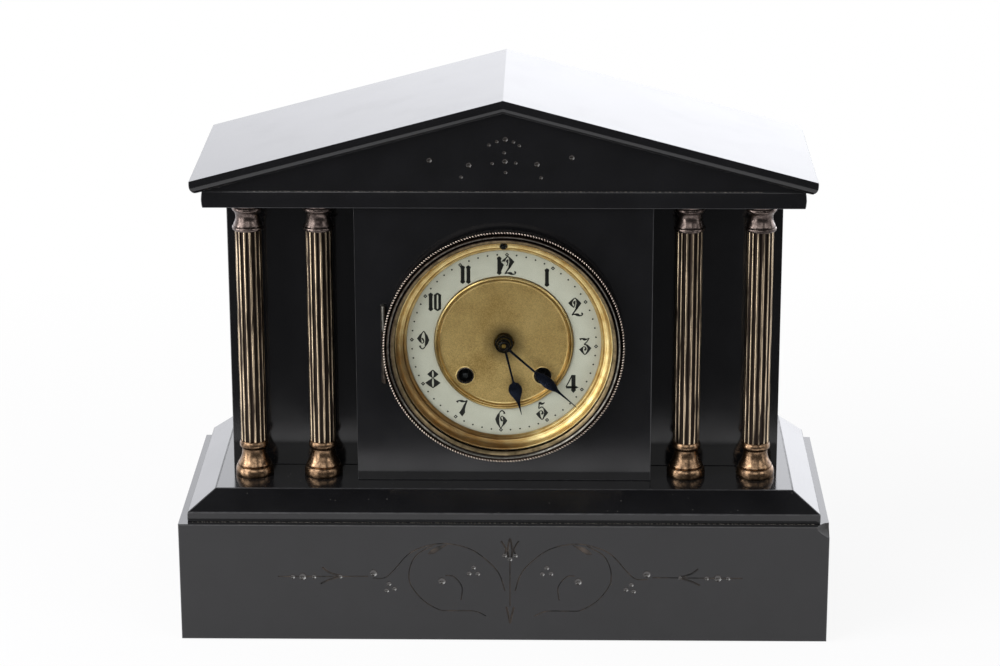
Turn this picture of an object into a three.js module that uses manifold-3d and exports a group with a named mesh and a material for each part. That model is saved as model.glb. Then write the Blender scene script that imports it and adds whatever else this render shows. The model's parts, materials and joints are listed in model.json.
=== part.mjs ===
// Temple-form mantel clock: polished black stone case, four fluted columns, a hinged bezel and a
// two-train movement with its pendulum. Millimetres, +Z up, the front faces -Y, and the origin is at
// the bottom centre of the base.
import * as THREE from 'three';
import { mergeVertices } from 'three/addons/utils/BufferGeometryUtils.js';
import Module from 'manifold-3d';

const wasm = await Module();
wasm.setup();
const degrees = THREE.MathUtils.degToRad;

// General: running clearances, how far a cutting or joining piece runs past a face, and facets
const clearance = 0.3;
const looseFit = 0.45;
const overrun = 1;
const ringSides = 36;
const smallRingSides = 24;
const columnSides = 16;
const hingeSides = 12;
const pinSides = 6;

// Base and step
const baseHeight = 78;
const baseWall = 20;
const baseSideMargin = 29.5;
const baseBackMargin = 5.5;
const frontPlatform = 37.8;
const stepLedge = 5.5;
const stepBackLedge = 2.5;
const stepRiser = 6;
const stepChamferRun = 16.5;
const stepChamferRise = 10.5;

// Body walls and the raised dial panel
const frontWallThickness = 14;
const sideWallThickness = 18;
const backPanelThickness = 12;
const panelSideMargin = 17.2;
const dialBelow = 15.6;
const dialAbove = 14.2;

// Entablature, gables and roof
const entablatureHeight = 10.5;
const entablatureSideOverhang = 11.6;
const entablatureFrontOverhang = 8.8;
const entablatureEase = 0.6;
const entablatureCurve = [[0, 1], [0.17, 0.45], [0.5, 0], [0.83, 0.45], [1, 1]];
const gableThickness = 16;
const gableSideInset = 1.5;
const tympanumSetback = 2;
const roofAngle = degrees(14.88);
const roofThickness = 9.5;
const roofSideOverhang = 6.4;
const roofFrontOverhang = 7.9;
const roofBackOverhang = 3.7;
const roofFillet = 2.6;
const roofOvoloRun = 6.2;
const roofOvoloSteps = 6;

// Columns, with their turned profiles as shares of radius and height
const columnPanelGap = 10.5;
const columnSpacing = 44.3;
const columnCornerInset = 2.7;
const columnWallGap = 3.1;
const columnBaseHeight = 23;
const columnBaseRadius = 12.3;
const columnBaseProfile = [
  [1, 0], [1, 0.12], [0.93, 0.27], [0.86, 0.3], [0.64, 0.6], [0.62, 0.76], [0.75, 0.81], [0.75, 0.96], [0.7, 1],
];
const columnCapitalHeight = 19.2;
const columnCapitalRadius = 10;
const columnCapitalProfile = [
  [0.97, 0], [1, 0.07], [0.92, 0.15], [0.79, 0.3], [0.77, 0.4], [0.82, 0.56], [1, 0.71], [1, 1],
];
const shaftRadius = 8.3;
const shaftFlutes = 14;
const fluteDepth = 0.8;
const fluteRidgeHalf = 0.14;

// Dial, with the curves of the sight ring and of the centre's rim as shares of width and height
const sightRadius = 61.2;
const sightWidth = 8.2;
const sightHeight = 7.2;
const sightCurve = [[0.88, 0.97], [0.76, 1], [0.51, 0.64], [0.24, 0.26], [0, 0.1]];
const panFlange = 1;
const panFlangeWidth = 2.3;
const panPlate = 1.6;
const panWall = 2.2;
const panBoreGap = 2.3;
const enamelThickness = 1.8;
const enamelDepth = 0.9;
const chapterWidth = 17.6;
const chapterUnder = 1.5;
const centreRimWidth = 3;
const centreRimHeight = 3.5;
const centreRimProfile = [[0, 0.74], [0.3, 1], [0.45, 0.44], [0.8, 0.74]];
const centreDisc = 0.8;
const centreHoleGap = 0.65;
const windingHoleRadius = 5.5;

// Bezel, with its moulding as [share of the ring's width in from the edge, drop below the front]
const bezelWidth = 6.7;
const bezelMoulding = [[0, 3.6], [0, 1.4], [0.12, 0.8], [0.27, 2.4], [0.47, 0.4], [0.69, 0]];
const bezelBackInset = 1.5;
const glassThickness = 2.2;
const glassGap = 0.9;
const glassRebate = 1.6;
const glassLip = 0.8;
const glassLipEase = 0.4;
const glassBead = 0.2;
const glassBeadWidth = 1;
const glassSeat = 1.1;

// Bezel hinge at 9 o'clock
const hingeInset = 0.9;
const hingeHeight = 51;
const hingeKnuckleRadius = 1.5;
const hingePinRadius = 0.7;
const hingeLeafWidth = 2;
const hingeLeafThickness = 0.6;

// Hands
const handThickness = 0.8;
const handSpacing = 1;
const handGap = 1.4;
const minuteHandOver = 0.3;
const minuteLeaf = { start: 27, widest: 40, end: 47.5, half: 3.4 };
const minuteAngle = degrees(131.7);
const hourHandOver = 4.4;
const hourLeaf = { start: 25.5, widest: 29.7, end: 39.5, half: 4.3 };
const hourAngle = degrees(166.5);
const shankHalf = 0.8;
const colletWall = 0.95;
const colletGap = 1.1;
const handHubWall = 1.2;
const handNutHeight = 1.4;
const handNutWall = 1.6;
const handNutEase = 0.4;

// Movement frame
const plateThickness = 2.5;
const plateMargin = 6;
const pillarRadius = 3;
const pillarInset = 6;
const pillarAngles = [3.4, 58.8, 121.2, 176.6, 270].map(degrees);
const dialFootAngles = [41, 139, 221, 319].map(degrees);
const dialFootRadius = 3;

// Trains: tooth counts, modules and bearings of each arbor from the one before it
const barrelTeeth = 40;
const wheelTeeth = 32;
const pinionLeaves = 8;
const barrelModule = 1.08;
const trainModule = 1;
const escapeModule = 0.88;
const intermediateBearing = degrees(10.75);
const thirdBearing = degrees(121.43);
const barrelHalfGap = 1.94;
const drumRim = 0.97;
const drumLength = 25.5;
const drumGap = 0.5;
const greatWheelThickness = 3;
const wheelThickness = 2;
const lastWheelThickness = 1.6;
const pinionOver = 0.9;
const frontGap = 1.6;
const levelStep = 6;
const backGap = 1.2;
const arborRadius = 1.5;
const pivotRadius = 0.9;
const windingArborRadius = 2.2;
const windingSquare = 3;
const windingSquareProud = 0.6;
const ratchetRadius = 9;
const ratchetTeeth = 16;
const ratchetToothDepth = 1.2;
const ratchetToothFace = degrees(3);
const ratchetThickness = 2;
const addendum = 0.8;
const dedendum = 1.05;
const toothTipHalf = 0.11;
const toothRootHalf = 0.27;
const meshSlack = 0.15;

// Escapement
const escapeTeeth = 24;
const escapeRadius = 15;
const escapeToothDepth = 3;
const escapeToothBack = 0.3;
const escapeToothFoot = 0.75;
const escapeThickness = 1.5;
const escapeStep = 3;
const palletRise = 18.5;
const palletAngle = degrees(48);
const palletGap = 1.4;
const palletWidth = 2.2;
const palletHeight = 2.6;
const palletOver = 0.5;
const anchorHub = 3;
const crutchGap = 2;
const crutchThickness = 1.8;
const crutchWidth = 3.2;
const crutchLength = 38;
const crutchFork = 2;
const crutchForkHeight = 4;

// Motion work: 8 into 24 and 8 into 32 on one centre distance, so the hour hand turns once in twelve
const cannonTeeth = 8;
const minuteWheelTeeth = 24;
const minutePinionTeeth = 8;
const hourWheelTeeth = 32;
const cannonModule = 1.1;
const minuteWheelBearing = degrees(135);
const cannonGap = 1.8;
const cannonLength = 2.8;
const cannonWall = 0.9;
const minuteWheelSetback = 0.4;
const hourGap = 1.2;
const hourWheelThickness = 2.4;
const hourPipeWall = 1.35;
const studRadius = 1.2;
const studHubWall = 1;
const studOverrun = 1.2;
const dialGap = 3;

// Strike work
const pinWheelBearing = degrees(100);
const flyBearing = degrees(84);
const flyRadius = 10;
const flyVane = 1;
const flyFrontGap = 4;
const flyBackGap = 5;
const liftPins = 6;
const liftPinSides = 4;
const liftPinCircle = 12;
const liftPinRadius = 0.8;
const liftPinLength = 2;
const hammerLeftOfFly = 13.2;
const hammerAboveFly = 4.2;
const hammerHeadRadius = 3.5;
const hammerHeadBearing = degrees(149);
const hammerHeadGap = 1.3;
const hammerHeadOver = 7.5;
const hammerArmWidth = 3;
const hammerTailWidth = 2;
const hammerTailGap = 1;
const leverThickness = 2;
const bellLeft = 18;
const bellDrop = 14;
const bellRadius = 36;
const bellDepth = 22;
const bellWall = 2;
const bellCurve = [[1, 0], [0.9, 0.45], [0.6, 0.88]];
const bellBehindPendulum = 10.8;
const bellBackRoom = 8;
const bellFootInset = 6.5;
const bellFootBearing = degrees(226.6);
const bellStandRadius = 3;
const bellSpindleRadius = 2;
const bellSpindleProud = 2;
const bellArmGap = 2;
const bellArmThickness = 4;

// Pendulum, the cock that it hangs from, and the slot in the step that it swings in
const pendulumLength = 140;
const pendulumSwing = degrees(4);
const bobRadius = 19;
const bobThickness = 11;
const bobCurve = [[0.6, 0.38], [1, 0.08]];
const rodWidth = 3;
const rodThickness = 1.6;
const ratingNutRadius = 4;
const ratingNutHeight = 4;
const slotRoom = 13.5;
const suspensionPinRadius = 1.1;
const suspensionEyeRadius = 3;
const cockHalf = 13;
const cockLeg = 4;
const cockCheek = 2;
const cockBar = 3;
const cockGap = 1;

// Regulator
const regulatorAlong = 0.4;
const regulatorArborRadius = 1.4;
const regulatorSquare = 2.2;
const regulatorSquareRise = 0.75;
const regulatorHoleRadius = 2;
const regulatorPostHalf = 4;
const regulatorPostOver = 4.5;

// Rear door
const rearBoreRadius = 58;
const rearFlange = 6;
const rearRingThickness = 1.2;
const rearSleeveLength = 8;
const rearDoorThickness = 1.2;
const rearDoorInset = 1;
const rearLugReach = 3;
const rearKnobRadius = 4;
const rearKnobHeight = 2.2;
const rearHingeHeight = 28;

// Radii of the dial and movement, worked out from the sight ring
const sightOuter = sightRadius + sightWidth;
const bezelRadius = sightOuter + bezelWidth;
const panFlangeRadius = sightOuter + panFlangeWidth;
const panWallRadius = sightRadius + chapterUnder + clearance + panWall;
const caseBoreRadius = panWallRadius + panBoreGap;
const centreRimRadius = sightRadius - chapterWidth;
const regulatorRadius = sightRadius + regulatorAlong * sightWidth;
const cannonPipeRadius = arborRadius + clearance + cannonWall;
const hourPipeRadius = cannonPipeRadius + looseFit + hourPipeWall;
const colletRadius = hourPipeRadius + clearance + colletWall;
const centreHoleRadius = colletRadius + centreHoleGap;

// Widths and heights of the case, worked out from the dial and the columns
const panelWidth = 2 * (bezelRadius + panelSideMargin);
const dialRise = bezelRadius + dialBelow;
const bodyHeight = dialRise + bezelRadius + dialAbove;
const innerColumnX = panelWidth / 2 + columnPanelGap + columnBaseRadius;
const outerColumnX = innerColumnX + columnSpacing;
const bodyWidth = 2 * (outerColumnX + columnBaseRadius + columnCornerInset);
const baseWidth = bodyWidth + 2 * baseSideMargin;
const stepTop = baseHeight + stepRiser + stepChamferRise;
const bodyTop = stepTop + bodyHeight;
const dialZ = stepTop + dialRise;
const entablatureTop = bodyTop + entablatureHeight;
const entablatureHalf = bodyWidth / 2 + entablatureSideOverhang;
const roofSlope = Math.tan(roofAngle);
const roofDrop = roofThickness / Math.cos(roofAngle);
const roofUnderRidge = entablatureTop + clearance + entablatureHalf * roofSlope;
const roofHalf = entablatureHalf + roofSideOverhang;

// Depth of the case, worked out from what stands behind the dial
const motionGap = cannonGap + cannonLength + hourGap + hourWheelThickness + studOverrun + dialGap;
const frontSpace = pinionOver + frontGap;
const drumSetback = frontSpace + wheelThickness + liftPinLength + drumGap;
const greatSpace = greatWheelThickness + pinionOver + clearance;
const plateSpacing = drumSetback + drumLength + greatSpace + lastWheelThickness + backGap;
const movementDepth = motionGap + 2 * plateThickness + plateSpacing;
const suspensionEyeHalf = rodThickness + clearance;
const pendulumOffset = 2 * crutchGap + crutchThickness + cockCheek + suspensionEyeHalf;
const bellRimOffset = pendulumOffset + bellBehindPendulum;
const dialDepth = enamelDepth + enamelThickness + panPlate;
const insideDepth = dialDepth + movementDepth + bellRimOffset + bellDepth + bellBackRoom;
const baseDepth = frontPlatform + insideDepth + backPanelThickness + baseBackMargin;

// Planes from the front to the back
const baseFront = -baseDepth / 2;
const baseBack = baseDepth / 2;
const panelFront = baseFront + frontPlatform;
const entablatureFront = panelFront - entablatureFrontOverhang;
const roofFront = entablatureFront - roofFrontOverhang;
const wallFront = panelFront + 2 * columnBaseRadius + columnWallGap;
const wallBack = wallFront + frontWallThickness;
const bodyBack = baseBack - baseBackMargin;
const backPanelFront = bodyBack - backPanelThickness;
const roofBack = bodyBack + roofBackOverhang;
const enamelFront = panelFront + enamelDepth;
const panSeat = enamelFront + enamelThickness;
const panBack = panSeat + panPlate;
const centreFace = panSeat - centreDisc;
const centreBead = panSeat - centreRimHeight;
const hourBack = centreBead - handGap;
const hourFront = hourBack - handThickness;
const minuteBack = hourFront - handSpacing;
const minuteFront = minuteBack - handThickness;
const nutFront = minuteFront - handNutHeight;
const frontPlateFront = panBack + motionGap;
const frontPlateBack = frontPlateFront + plateThickness;
const firstLevel = frontPlateBack + frontSpace;
const secondLevel = firstLevel + levelStep;
const drumFront = frontPlateBack + drumSetback;
const greatLevel = drumFront + drumLength;
const escapeLevel = greatLevel - escapeStep;
const lastLevel = greatLevel + greatSpace;
const backPlateFront = frontPlateBack + plateSpacing;
const backPlateBack = backPlateFront + plateThickness;
const crutchFront = backPlateBack + crutchGap;
const crutchBack = crutchFront + crutchThickness;
const pendulumY = backPlateBack + pendulumOffset;
const bellRim = backPlateBack + bellRimOffset;

// Materials
const metal = (color, roughness) => new THREE.MeshStandardMaterial({ color, roughness, metalness: 1 });
const stone = new THREE.MeshStandardMaterial({ color: 0x17171a, roughness: 0.12, metalness: 0 });
const enamel = new THREE.MeshStandardMaterial({ color: 0xb9bbaf, roughness: 0.3, metalness: 0 });
const glass = new THREE.MeshStandardMaterial({
  color: 0xffffff, roughness: 0.02, opacity: 0.15, transparent: true,
});
const gilt = metal(0xb8873c, 0.35);
const brass = metal(0xa98a45, 0.4);
const bronze = metal(0x5b4427, 0.45);
const steel = metal(0x8c8f93, 0.35);
const bluedSteel = metal(0x1c2230, 0.3);
const bellMetal = metal(0xa6894f, 0.3);

// Geometry helpers

function box(x0, x1, y0, y1, z0, z1) {
  const geometry = new THREE.BoxGeometry(x1 - x0, y1 - y0, z1 - z0);
  return geometry.translate((x0 + x1) / 2, (y0 + y1) / 2, (z0 + z1) / 2);
}

function circlePoints(x, z, radius, sides) {
  return Array.from({ length: sides }, (_, i) => {
    const angle = (2 * Math.PI * i) / sides;
    return new THREE.Vector2(x + radius * Math.cos(angle), z + radius * Math.sin(angle));
  });
}

// An upright outline in X and Z, with round or other holes, as a slab from one Y to another
function slab(points, holes, y0, y1) {
  const shape = new THREE.Shape(points);
  shape.holes = holes.map((hole) => new THREE.Path(hole));
  const geometry = new THREE.ExtrudeGeometry(shape, { depth: y1 - y0, bevelEnabled: false });
  return geometry.rotateX(Math.PI / 2).translate(0, y1, 0);
}

function rectangle(x0, x1, z0, z1) {
  return [[x0, z0], [x1, z0], [x1, z1], [x0, z1]].map(([x, z]) => new THREE.Vector2(x, z));
}

// A round bar along Y
function bar(x, z, radius, y0, y1, sides = pinSides) {
  return slab(circlePoints(x, z, radius, sides), [], y0, y1);
}

// A profile of [radius, y] turned about the Y axis
function turned(profile, sides = ringSides) {
  const closed = profile.some(([radius]) => radius === 0) ? profile : [...profile, profile[0]];
  const points = closed.map(([radius, y]) => new THREE.Vector2(radius, y));
  const ordered = THREE.ShapeUtils.isClockWise(points) ? points.reverse() : points;
  return new THREE.LatheGeometry(ordered, sides);
}

// The same about the upright axis, with [radius, z]
function turnedUpright(profile, sides = columnSides) {
  return turned(profile, sides).rotateX(Math.PI / 2);
}

// A profile of [radius, distance in front of the dial panel] turned about the dial's axis
function dialTurned(profile, sides = ringSides) {
  return turned(profile.map(([radius, forward]) => [radius, panelFront - forward]), sides);
}

function withoutFlatTriangles(geometry) {
  const index = [];
  const source = geometry.index.array;
  for (let i = 0; i < source.length; i += 3) {
    const [a, b, c] = source.slice(i, i + 3);
    if (a !== b && b !== c && c !== a) index.push(a, b, c);
  }
  return Uint32Array.from(index);
}

function toSolid(geometry) {
  const bare = geometry.clone();
  bare.deleteAttribute('normal');
  bare.deleteAttribute('uv');
  const merged = mergeVertices(bare);
  const vertProperties = Float32Array.from(merged.attributes.position.array);
  const triVerts = withoutFlatTriangles(merged);
  return new wasm.Manifold(new wasm.Mesh({ numProp: 3, vertProperties, triVerts }));
}

function toGeometry(solid) {
  const mesh = solid.getMesh();
  const geometry = new THREE.BufferGeometry();
  geometry.setAttribute('position', new THREE.BufferAttribute(mesh.vertProperties, 3));
  geometry.setIndex(new THREE.BufferAttribute(mesh.triVerts, 1));
  geometry.computeVertexNormals();
  return geometry;
}

function join(...geometries) {
  return toGeometry(geometries.map(toSolid).reduce((sum, solid) => sum.add(solid)));
}

function cut(geometry, ...tools) {
  return toGeometry(tools.map(toSolid).reduce((rest, tool) => rest.subtract(tool), toSolid(geometry)));
}

const polar = (radius, angle) => new THREE.Vector2(radius * Math.cos(angle), radius * Math.sin(angle));

// The scene graph: the dial and movement stand in a group at the dial's centre

const clock = new THREE.Group();
const dial = new THREE.Group();
dial.position.z = dialZ;
clock.add(dial);

function add(parent, name, geometry, material) {
  const mesh = new THREE.Mesh(geometry, material);
  mesh.name = name;
  parent.add(mesh);
  return mesh;
}

// Plinth: four slabs around a hollow, the front and back ones running the full width

function addPlinth() {
  const half = baseWidth / 2;
  const inFront = baseFront + baseWall;
  const inBack = baseBack - baseWall;
  add(clock, 'plinth_front', box(-half, half, baseFront, inFront, 0, baseHeight), stone);
  add(clock, 'plinth_back', box(-half, half, inBack, baseBack, 0, baseHeight), stone);
  add(clock, 'plinth_left', box(-half, baseWall - half, inFront, inBack, 0, baseHeight), stone);
  add(clock, 'plinth_right', box(half - baseWall, half, inFront, inBack, 0, baseHeight), stone);
}

// A slab whose rectangular outline changes from level to level: each level is [half width, front, back, z]
function levelled(levels) {
  const positions = [];
  for (const [half, front, back, z] of levels) {
    positions.push(-half, front, z, half, front, z, half, back, z, -half, back, z);
  }
  const index = [0, 2, 1, 0, 3, 2];
  for (let level = 0; level + 1 < levels.length; level += 1) {
    for (let side = 0; side < 4; side += 1) {
      const a = 4 * level + side;
      const b = 4 * level + ((side + 1) % 4);
      index.push(a, b, b + 4, a, b + 4, a + 4);
    }
  }
  const top = 4 * (levels.length - 1);
  index.push(top, top + 1, top + 2, top, top + 2, top + 3);
  const geometry = new THREE.BufferGeometry();
  geometry.setAttribute('position', new THREE.Float32BufferAttribute(positions, 3));
  geometry.setIndex(index);
  geometry.computeVertexNormals();
  return geometry;
}

// Step: a riser set in from the plinth's edge, then a chamfer up to the platform, flat at the back
function addStep() {
  const half = baseWidth / 2 - stepLedge;
  const front = baseFront + stepLedge;
  const back = baseBack - stepBackLedge;
  const stepBody = levelled([
    [half, front, back, baseHeight],
    [half, front, back, baseHeight + stepRiser],
    [half - stepChamferRun, front + stepChamferRun, back, stepTop],
  ]);
  const slotHalf = bobRadius + pendulumLength * Math.sin(pendulumSwing) + slotRoom;
  const slotReach = bobThickness / 2 + slotRoom;
  const slot = box(-slotHalf, slotHalf, pendulumY - slotReach, pendulumY + slotReach, 0, bodyTop);
  add(clock, 'step_slab', cut(stepBody, slot), stone);
}

function addBody() {
  const half = bodyWidth / 2;
  const sideIn = half - sideWallThickness;
  const dialBore = circlePoints(0, dialZ, caseBoreRadius, ringSides);
  const rearBore = circlePoints(0, dialZ, rearBoreRadius, ringSides);
  const wall = rectangle(-half, half, stepTop, bodyTop);
  const panel = rectangle(-panelWidth / 2, panelWidth / 2, stepTop, bodyTop);
  add(clock, 'front_wall', slab(wall, [dialBore], wallFront, wallBack), stone);
  add(clock, 'dial_panel', slab(panel, [dialBore], panelFront, wallFront), stone);
  add(clock, 'side_wall_left', box(-half, -sideIn, wallBack, backPanelFront, stepTop, bodyTop), stone);
  add(clock, 'side_wall_right', box(sideIn, half, wallBack, backPanelFront, stepTop, bodyTop), stone);
  add(clock, 'back_panel', slab(wall, [rearBore], backPanelFront, bodyBack), stone);
}

function addEntablature() {
  const levels = entablatureCurve.map(([rise, drawnIn]) => [
    entablatureHalf - drawnIn * entablatureEase,
    entablatureFront + drawnIn * entablatureEase,
    bodyBack,
    bodyTop + rise * entablatureHeight,
  ]);
  add(clock, 'entablature', levelled(levels), stone);
}

// Gables fill the triangle under the roof slabs, front and back
function addGables() {
  const half = entablatureHalf - gableSideInset;
  const ridge = roofUnderRidge - clearance;
  const outline = [
    new THREE.Vector2(-half, entablatureTop),
    new THREE.Vector2(half, entablatureTop),
    new THREE.Vector2(half, ridge - half * roofSlope),
    new THREE.Vector2(0, ridge),
    new THREE.Vector2(-half, ridge - half * roofSlope),
  ];
  const front = entablatureFront + tympanumSetback;
  add(clock, 'tympanum', slab(outline, [], front, front + gableThickness), stone);
  add(clock, 'rear_gable', slab(outline, [], bodyBack - gableThickness, bodyBack), stone);
}

// The roof's edge moulding as [distance in from the edge, depth below the top]: a fillet and an ovolo
function roofMoulding() {
  const points = [[0, 0], [0, roofFillet]];
  const rise = roofDrop - roofFillet;
  for (let i = 1; i <= roofOvoloSteps; i += 1) {
    const angle = (Math.PI / 2) * (i / roofOvoloSteps);
    const run = roofOvoloRun * (1 - Math.cos(angle));
    points.push([run, roofFillet + rise * Math.sin(angle)]);
  }
  return points;
}

// One slope of the roof: side is 1 on the right and -1 on the left
function roofSlab(side) {
  const moulding = roofMoulding();
  const topAt = (x) => roofUnderRidge + roofDrop - x * roofSlope;
  const outline = [new THREE.Vector2(0, topAt(0) - roofDrop), new THREE.Vector2(0, topAt(0))];
  for (const [run, depth] of moulding) {
    const x = roofHalf - run;
    outline.push(new THREE.Vector2(side * x, topAt(x) - depth));
  }
  const body = slab(outline, [], roofFront, roofBack);
  const margin = roofThickness;
  const waste = new THREE.Shape([
    ...moulding.slice(1).map(([run, depth]) => new THREE.Vector2(roofFront + run, -depth)),
    new THREE.Vector2(roofFront + roofOvoloRun, -roofDrop - margin),
    new THREE.Vector2(roofFront - margin, -roofDrop - margin),
    new THREE.Vector2(roofFront - margin, -roofFillet),
  ]);
  const length = roofHalf + 2 * margin;
  const cutter = new THREE.ExtrudeGeometry(waste, { depth: length, bevelEnabled: false });
  const toSlope = new THREE.Matrix4().makeBasis(
    new THREE.Vector3(0, 1, 0),
    new THREE.Vector3(0, 0, 1),
    new THREE.Vector3(1, 0, -side * roofSlope),
  );
  cutter.translate(0, 0, side > 0 ? -margin : margin - length).applyMatrix4(toSlope);
  cutter.translate(0, 0, topAt(0));
  return cut(body, cutter);
}

function addRoof() {
  add(clock, 'roof_left', roofSlab(-1), stone);
  add(clock, 'roof_right', roofSlab(1), stone);
}

// Columns: a turned base, a fluted shaft and a turned capital, flush with the dial panel's face

// A column's base or capital, from its profile's shares of radius and height
function columnTurning(profile, radius, height) {
  const outline = profile.map(([out, up]) => [out * radius, up * height]);
  return turnedUpright([[0, 0], ...outline, [0, height]]);
}

function columnShaft(length) {
  const outline = [];
  const pitch = (2 * Math.PI) / shaftFlutes;
  for (let flute = 0; flute < shaftFlutes; flute += 1) {
    outline.push(polar(shaftRadius, pitch * (flute - fluteRidgeHalf)));
    outline.push(polar(shaftRadius, pitch * (flute + fluteRidgeHalf)));
    outline.push(polar(shaftRadius - fluteDepth, pitch * (flute + 0.5)));
  }
  return new THREE.ExtrudeGeometry(new THREE.Shape(outline), { depth: length, bevelEnabled: false });
}

function addColumns() {
  const places = [-outerColumnX, -innerColumnX, innerColumnX, outerColumnX];
  places.forEach((x, i) => {
    const column = new THREE.Group();
    column.position.set(x, panelFront + columnBaseRadius, stepTop);
    const base = columnTurning(columnBaseProfile, columnBaseRadius, columnBaseHeight);
    const capital = columnTurning(columnCapitalProfile, columnCapitalRadius, columnCapitalHeight);
    const capitalZ = bodyHeight - columnCapitalHeight;
    const shaft = columnShaft(capitalZ - columnBaseHeight);
    add(column, `column_${i + 1}_base`, base, gilt);
    add(column, `column_${i + 1}_shaft`, shaft, bronze).position.z = columnBaseHeight;
    add(column, `column_${i + 1}_capital`, capital, bronze).position.z = capitalZ;
    clock.add(column);
  });
}

// Bezel: a turned ring with a milled edge, a groove that holds the glass, and the hinge's middle knuckle

const bezelBackForward = panFlange + clearance;
const glassBack = Math.max(sightHeight, panelFront - nutFront) + glassGap;
const glassFront = glassBack + glassThickness;
const bezelFrontForward = glassFront + glassRebate;
const grooveRadius = sightOuter + glassSeat;
const lipRadius = sightOuter - glassLip;
const beadRadius = sightOuter - glassBead;
const hingeX = -(bezelRadius - hingeInset);
const hingeForward = panFlange + clearance + hingeKnuckleRadius;
const hingeY = panelFront - hingeForward;

// One of the hinge's three knuckles, counted from the bottom, as [low, high] about the dial's centre
function knuckleSpan(i) {
  const third = hingeHeight / 3;
  const low = -hingeHeight / 2 + i * third;
  return [low + clearance / 2, low + third - clearance / 2];
}

function uprightBar(x, y, radius, z0, z1, sides = hingeSides) {
  const shape = new THREE.Shape(circlePoints(0, 0, radius, sides));
  const geometry = new THREE.ExtrudeGeometry(shape, { depth: z1 - z0, bevelEnabled: false });
  return geometry.translate(x, y, z0);
}

function addBezel() {
  const ringWidth = bezelRadius - lipRadius;
  const moulding = bezelMoulding.map(([across, drop]) => (
    [bezelRadius - across * ringWidth, bezelFrontForward - drop]
  ));
  const beadFront = glassBack - clearance;
  const ring = dialTurned([
    [bezelRadius - bezelBackInset, bezelBackForward], ...moulding,
    [lipRadius, bezelFrontForward - glassLipEase], [lipRadius, glassFront + clearance],
    [grooveRadius, glassFront + clearance], [grooveRadius, beadFront],
    [beadRadius, beadFront], [beadRadius, beadFront - glassBeadWidth], [grooveRadius, bezelBackForward],
  ]);
  const [low, high] = knuckleSpan(1);
  const reliefHalf = hingeHeight / 2 + clearance;
  const knuckleFront = hingeY - hingeKnuckleRadius - clearance;
  const reliefRight = hingeX + hingeKnuckleRadius + clearance;
  const relief = box(-bezelRadius - overrun, reliefRight, knuckleFront, panelFront, -reliefHalf, reliefHalf);
  const webFront = knuckleFront - overrun;
  const web = box(hingeX - hingePinRadius, hingeX + hingePinRadius, webFront, hingeY, low, high);
  const knuckle = uprightBar(hingeX, hingeY, hingeKnuckleRadius, low, high);
  const bore = uprightBar(hingeX, hingeY, hingePinRadius + clearance, -reliefHalf, reliefHalf);
  add(dial, 'bezel', cut(join(cut(ring, relief), web, knuckle), bore), gilt);
  const glassRadius = grooveRadius - clearance;
  const pane = [[0, glassBack], [glassRadius, glassBack], [glassRadius, glassFront], [0, glassFront]];
  add(dial, 'bezel_glass', dialTurned(pane), glass);
}

// The fixed hinge leaf lies on the dial panel beside the pan's flange and carries the outer knuckles and pin
function addBezelHinge() {
  const half = hingeHeight / 2;
  const leafY = panelFront - hingeLeafThickness;
  const leaf = box(hingeX - hingeLeafWidth, hingeX, leafY, panelFront, -half, half);
  const parts = [leaf, uprightBar(hingeX, hingeY, hingePinRadius, -half, half)];
  for (const i of [0, 2]) {
    const [low, high] = knuckleSpan(i);
    parts.push(uprightBar(hingeX, hingeY, hingeKnuckleRadius, low, high));
    parts.push(box(hingeX - hingeKnuckleRadius, hingeX, hingeY, panelFront, low, high));
  }
  const seatRadius = panFlangeRadius + clearance;
  const flangeClear = bar(0, 0, seatRadius, leafY - overrun, panelFront + overrun, ringSides);
  add(dial, 'bezel_hinge', cut(join(...parts), flangeClear), gilt);
}

// Dial pan: flange on the panel, concave sight ring, and the plate that the dial lies on

function windingHoles(y0, y1) {
  return [goingAt, strikeAt].map((at) => bar(at.x, at.y, windingHoleRadius, y0, y1, columnSides));
}

function addPan() {
  const lipBack = clearance - enamelDepth;
  const wallIn = sightRadius + chapterUnder + clearance;
  const seat = panelFront - panSeat;
  const back = panelFront - panBack;
  const curve = sightCurve.map(([out, up]) => [sightRadius + out * sightWidth, up * sightHeight]);
  const dish = dialTurned([
    [panFlangeRadius, 0], [panFlangeRadius, panFlange], [sightOuter, panFlange], ...curve,
    [sightRadius, lipBack], [wallIn, lipBack], [wallIn, seat], [centreHoleRadius, seat],
    [centreHoleRadius, back], [panWallRadius, back], [panWallRadius, 0],
  ]);
  const feet = dialFootAngles.map((angle) => {
    const at = polar(plateRadius - pillarInset, angle);
    return bar(at.x, at.y, dialFootRadius, panSeat, frontPlateFront);
  });
  const holes = windingHoles(panSeat - overrun, panBack + overrun);
  const holeFront = panelFront - sightHeight - overrun;
  const regulatorHole = bar(0, regulatorRadius, regulatorHoleRadius, holeFront, panBack + overrun);
  add(dial, 'dial_pan', cut(join(dish, ...feet), ...holes, regulatorHole), gilt);
}

function addDial() {
  const ringIn = centreRimRadius + clearance;
  const ringOut = sightRadius + chapterUnder;
  const chapter = [[ringIn, panSeat], [ringOut, panSeat], [ringOut, enamelFront], [ringIn, enamelFront]];
  add(dial, 'chapter_ring', turned(chapter), enamel);
  const rimRise = centreFace - centreBead;
  const rim = centreRimProfile.map(([across, up]) => (
    [centreRimRadius - across * centreRimWidth, centreFace - up * rimRise]
  ));
  const disc = turned([
    [centreHoleRadius, panSeat], [centreRimRadius, panSeat], ...rim,
    [centreRimRadius - centreRimWidth, centreFace], [centreHoleRadius, centreFace],
  ]);
  add(dial, 'dial_centre', cut(disc, ...windingHoles(centreFace - overrun, panSeat + overrun)), brass);
}

// Hands: a round hub, a thin shank, a leaf and a long point, drawn pointing to 12 and turned clockwise

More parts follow.
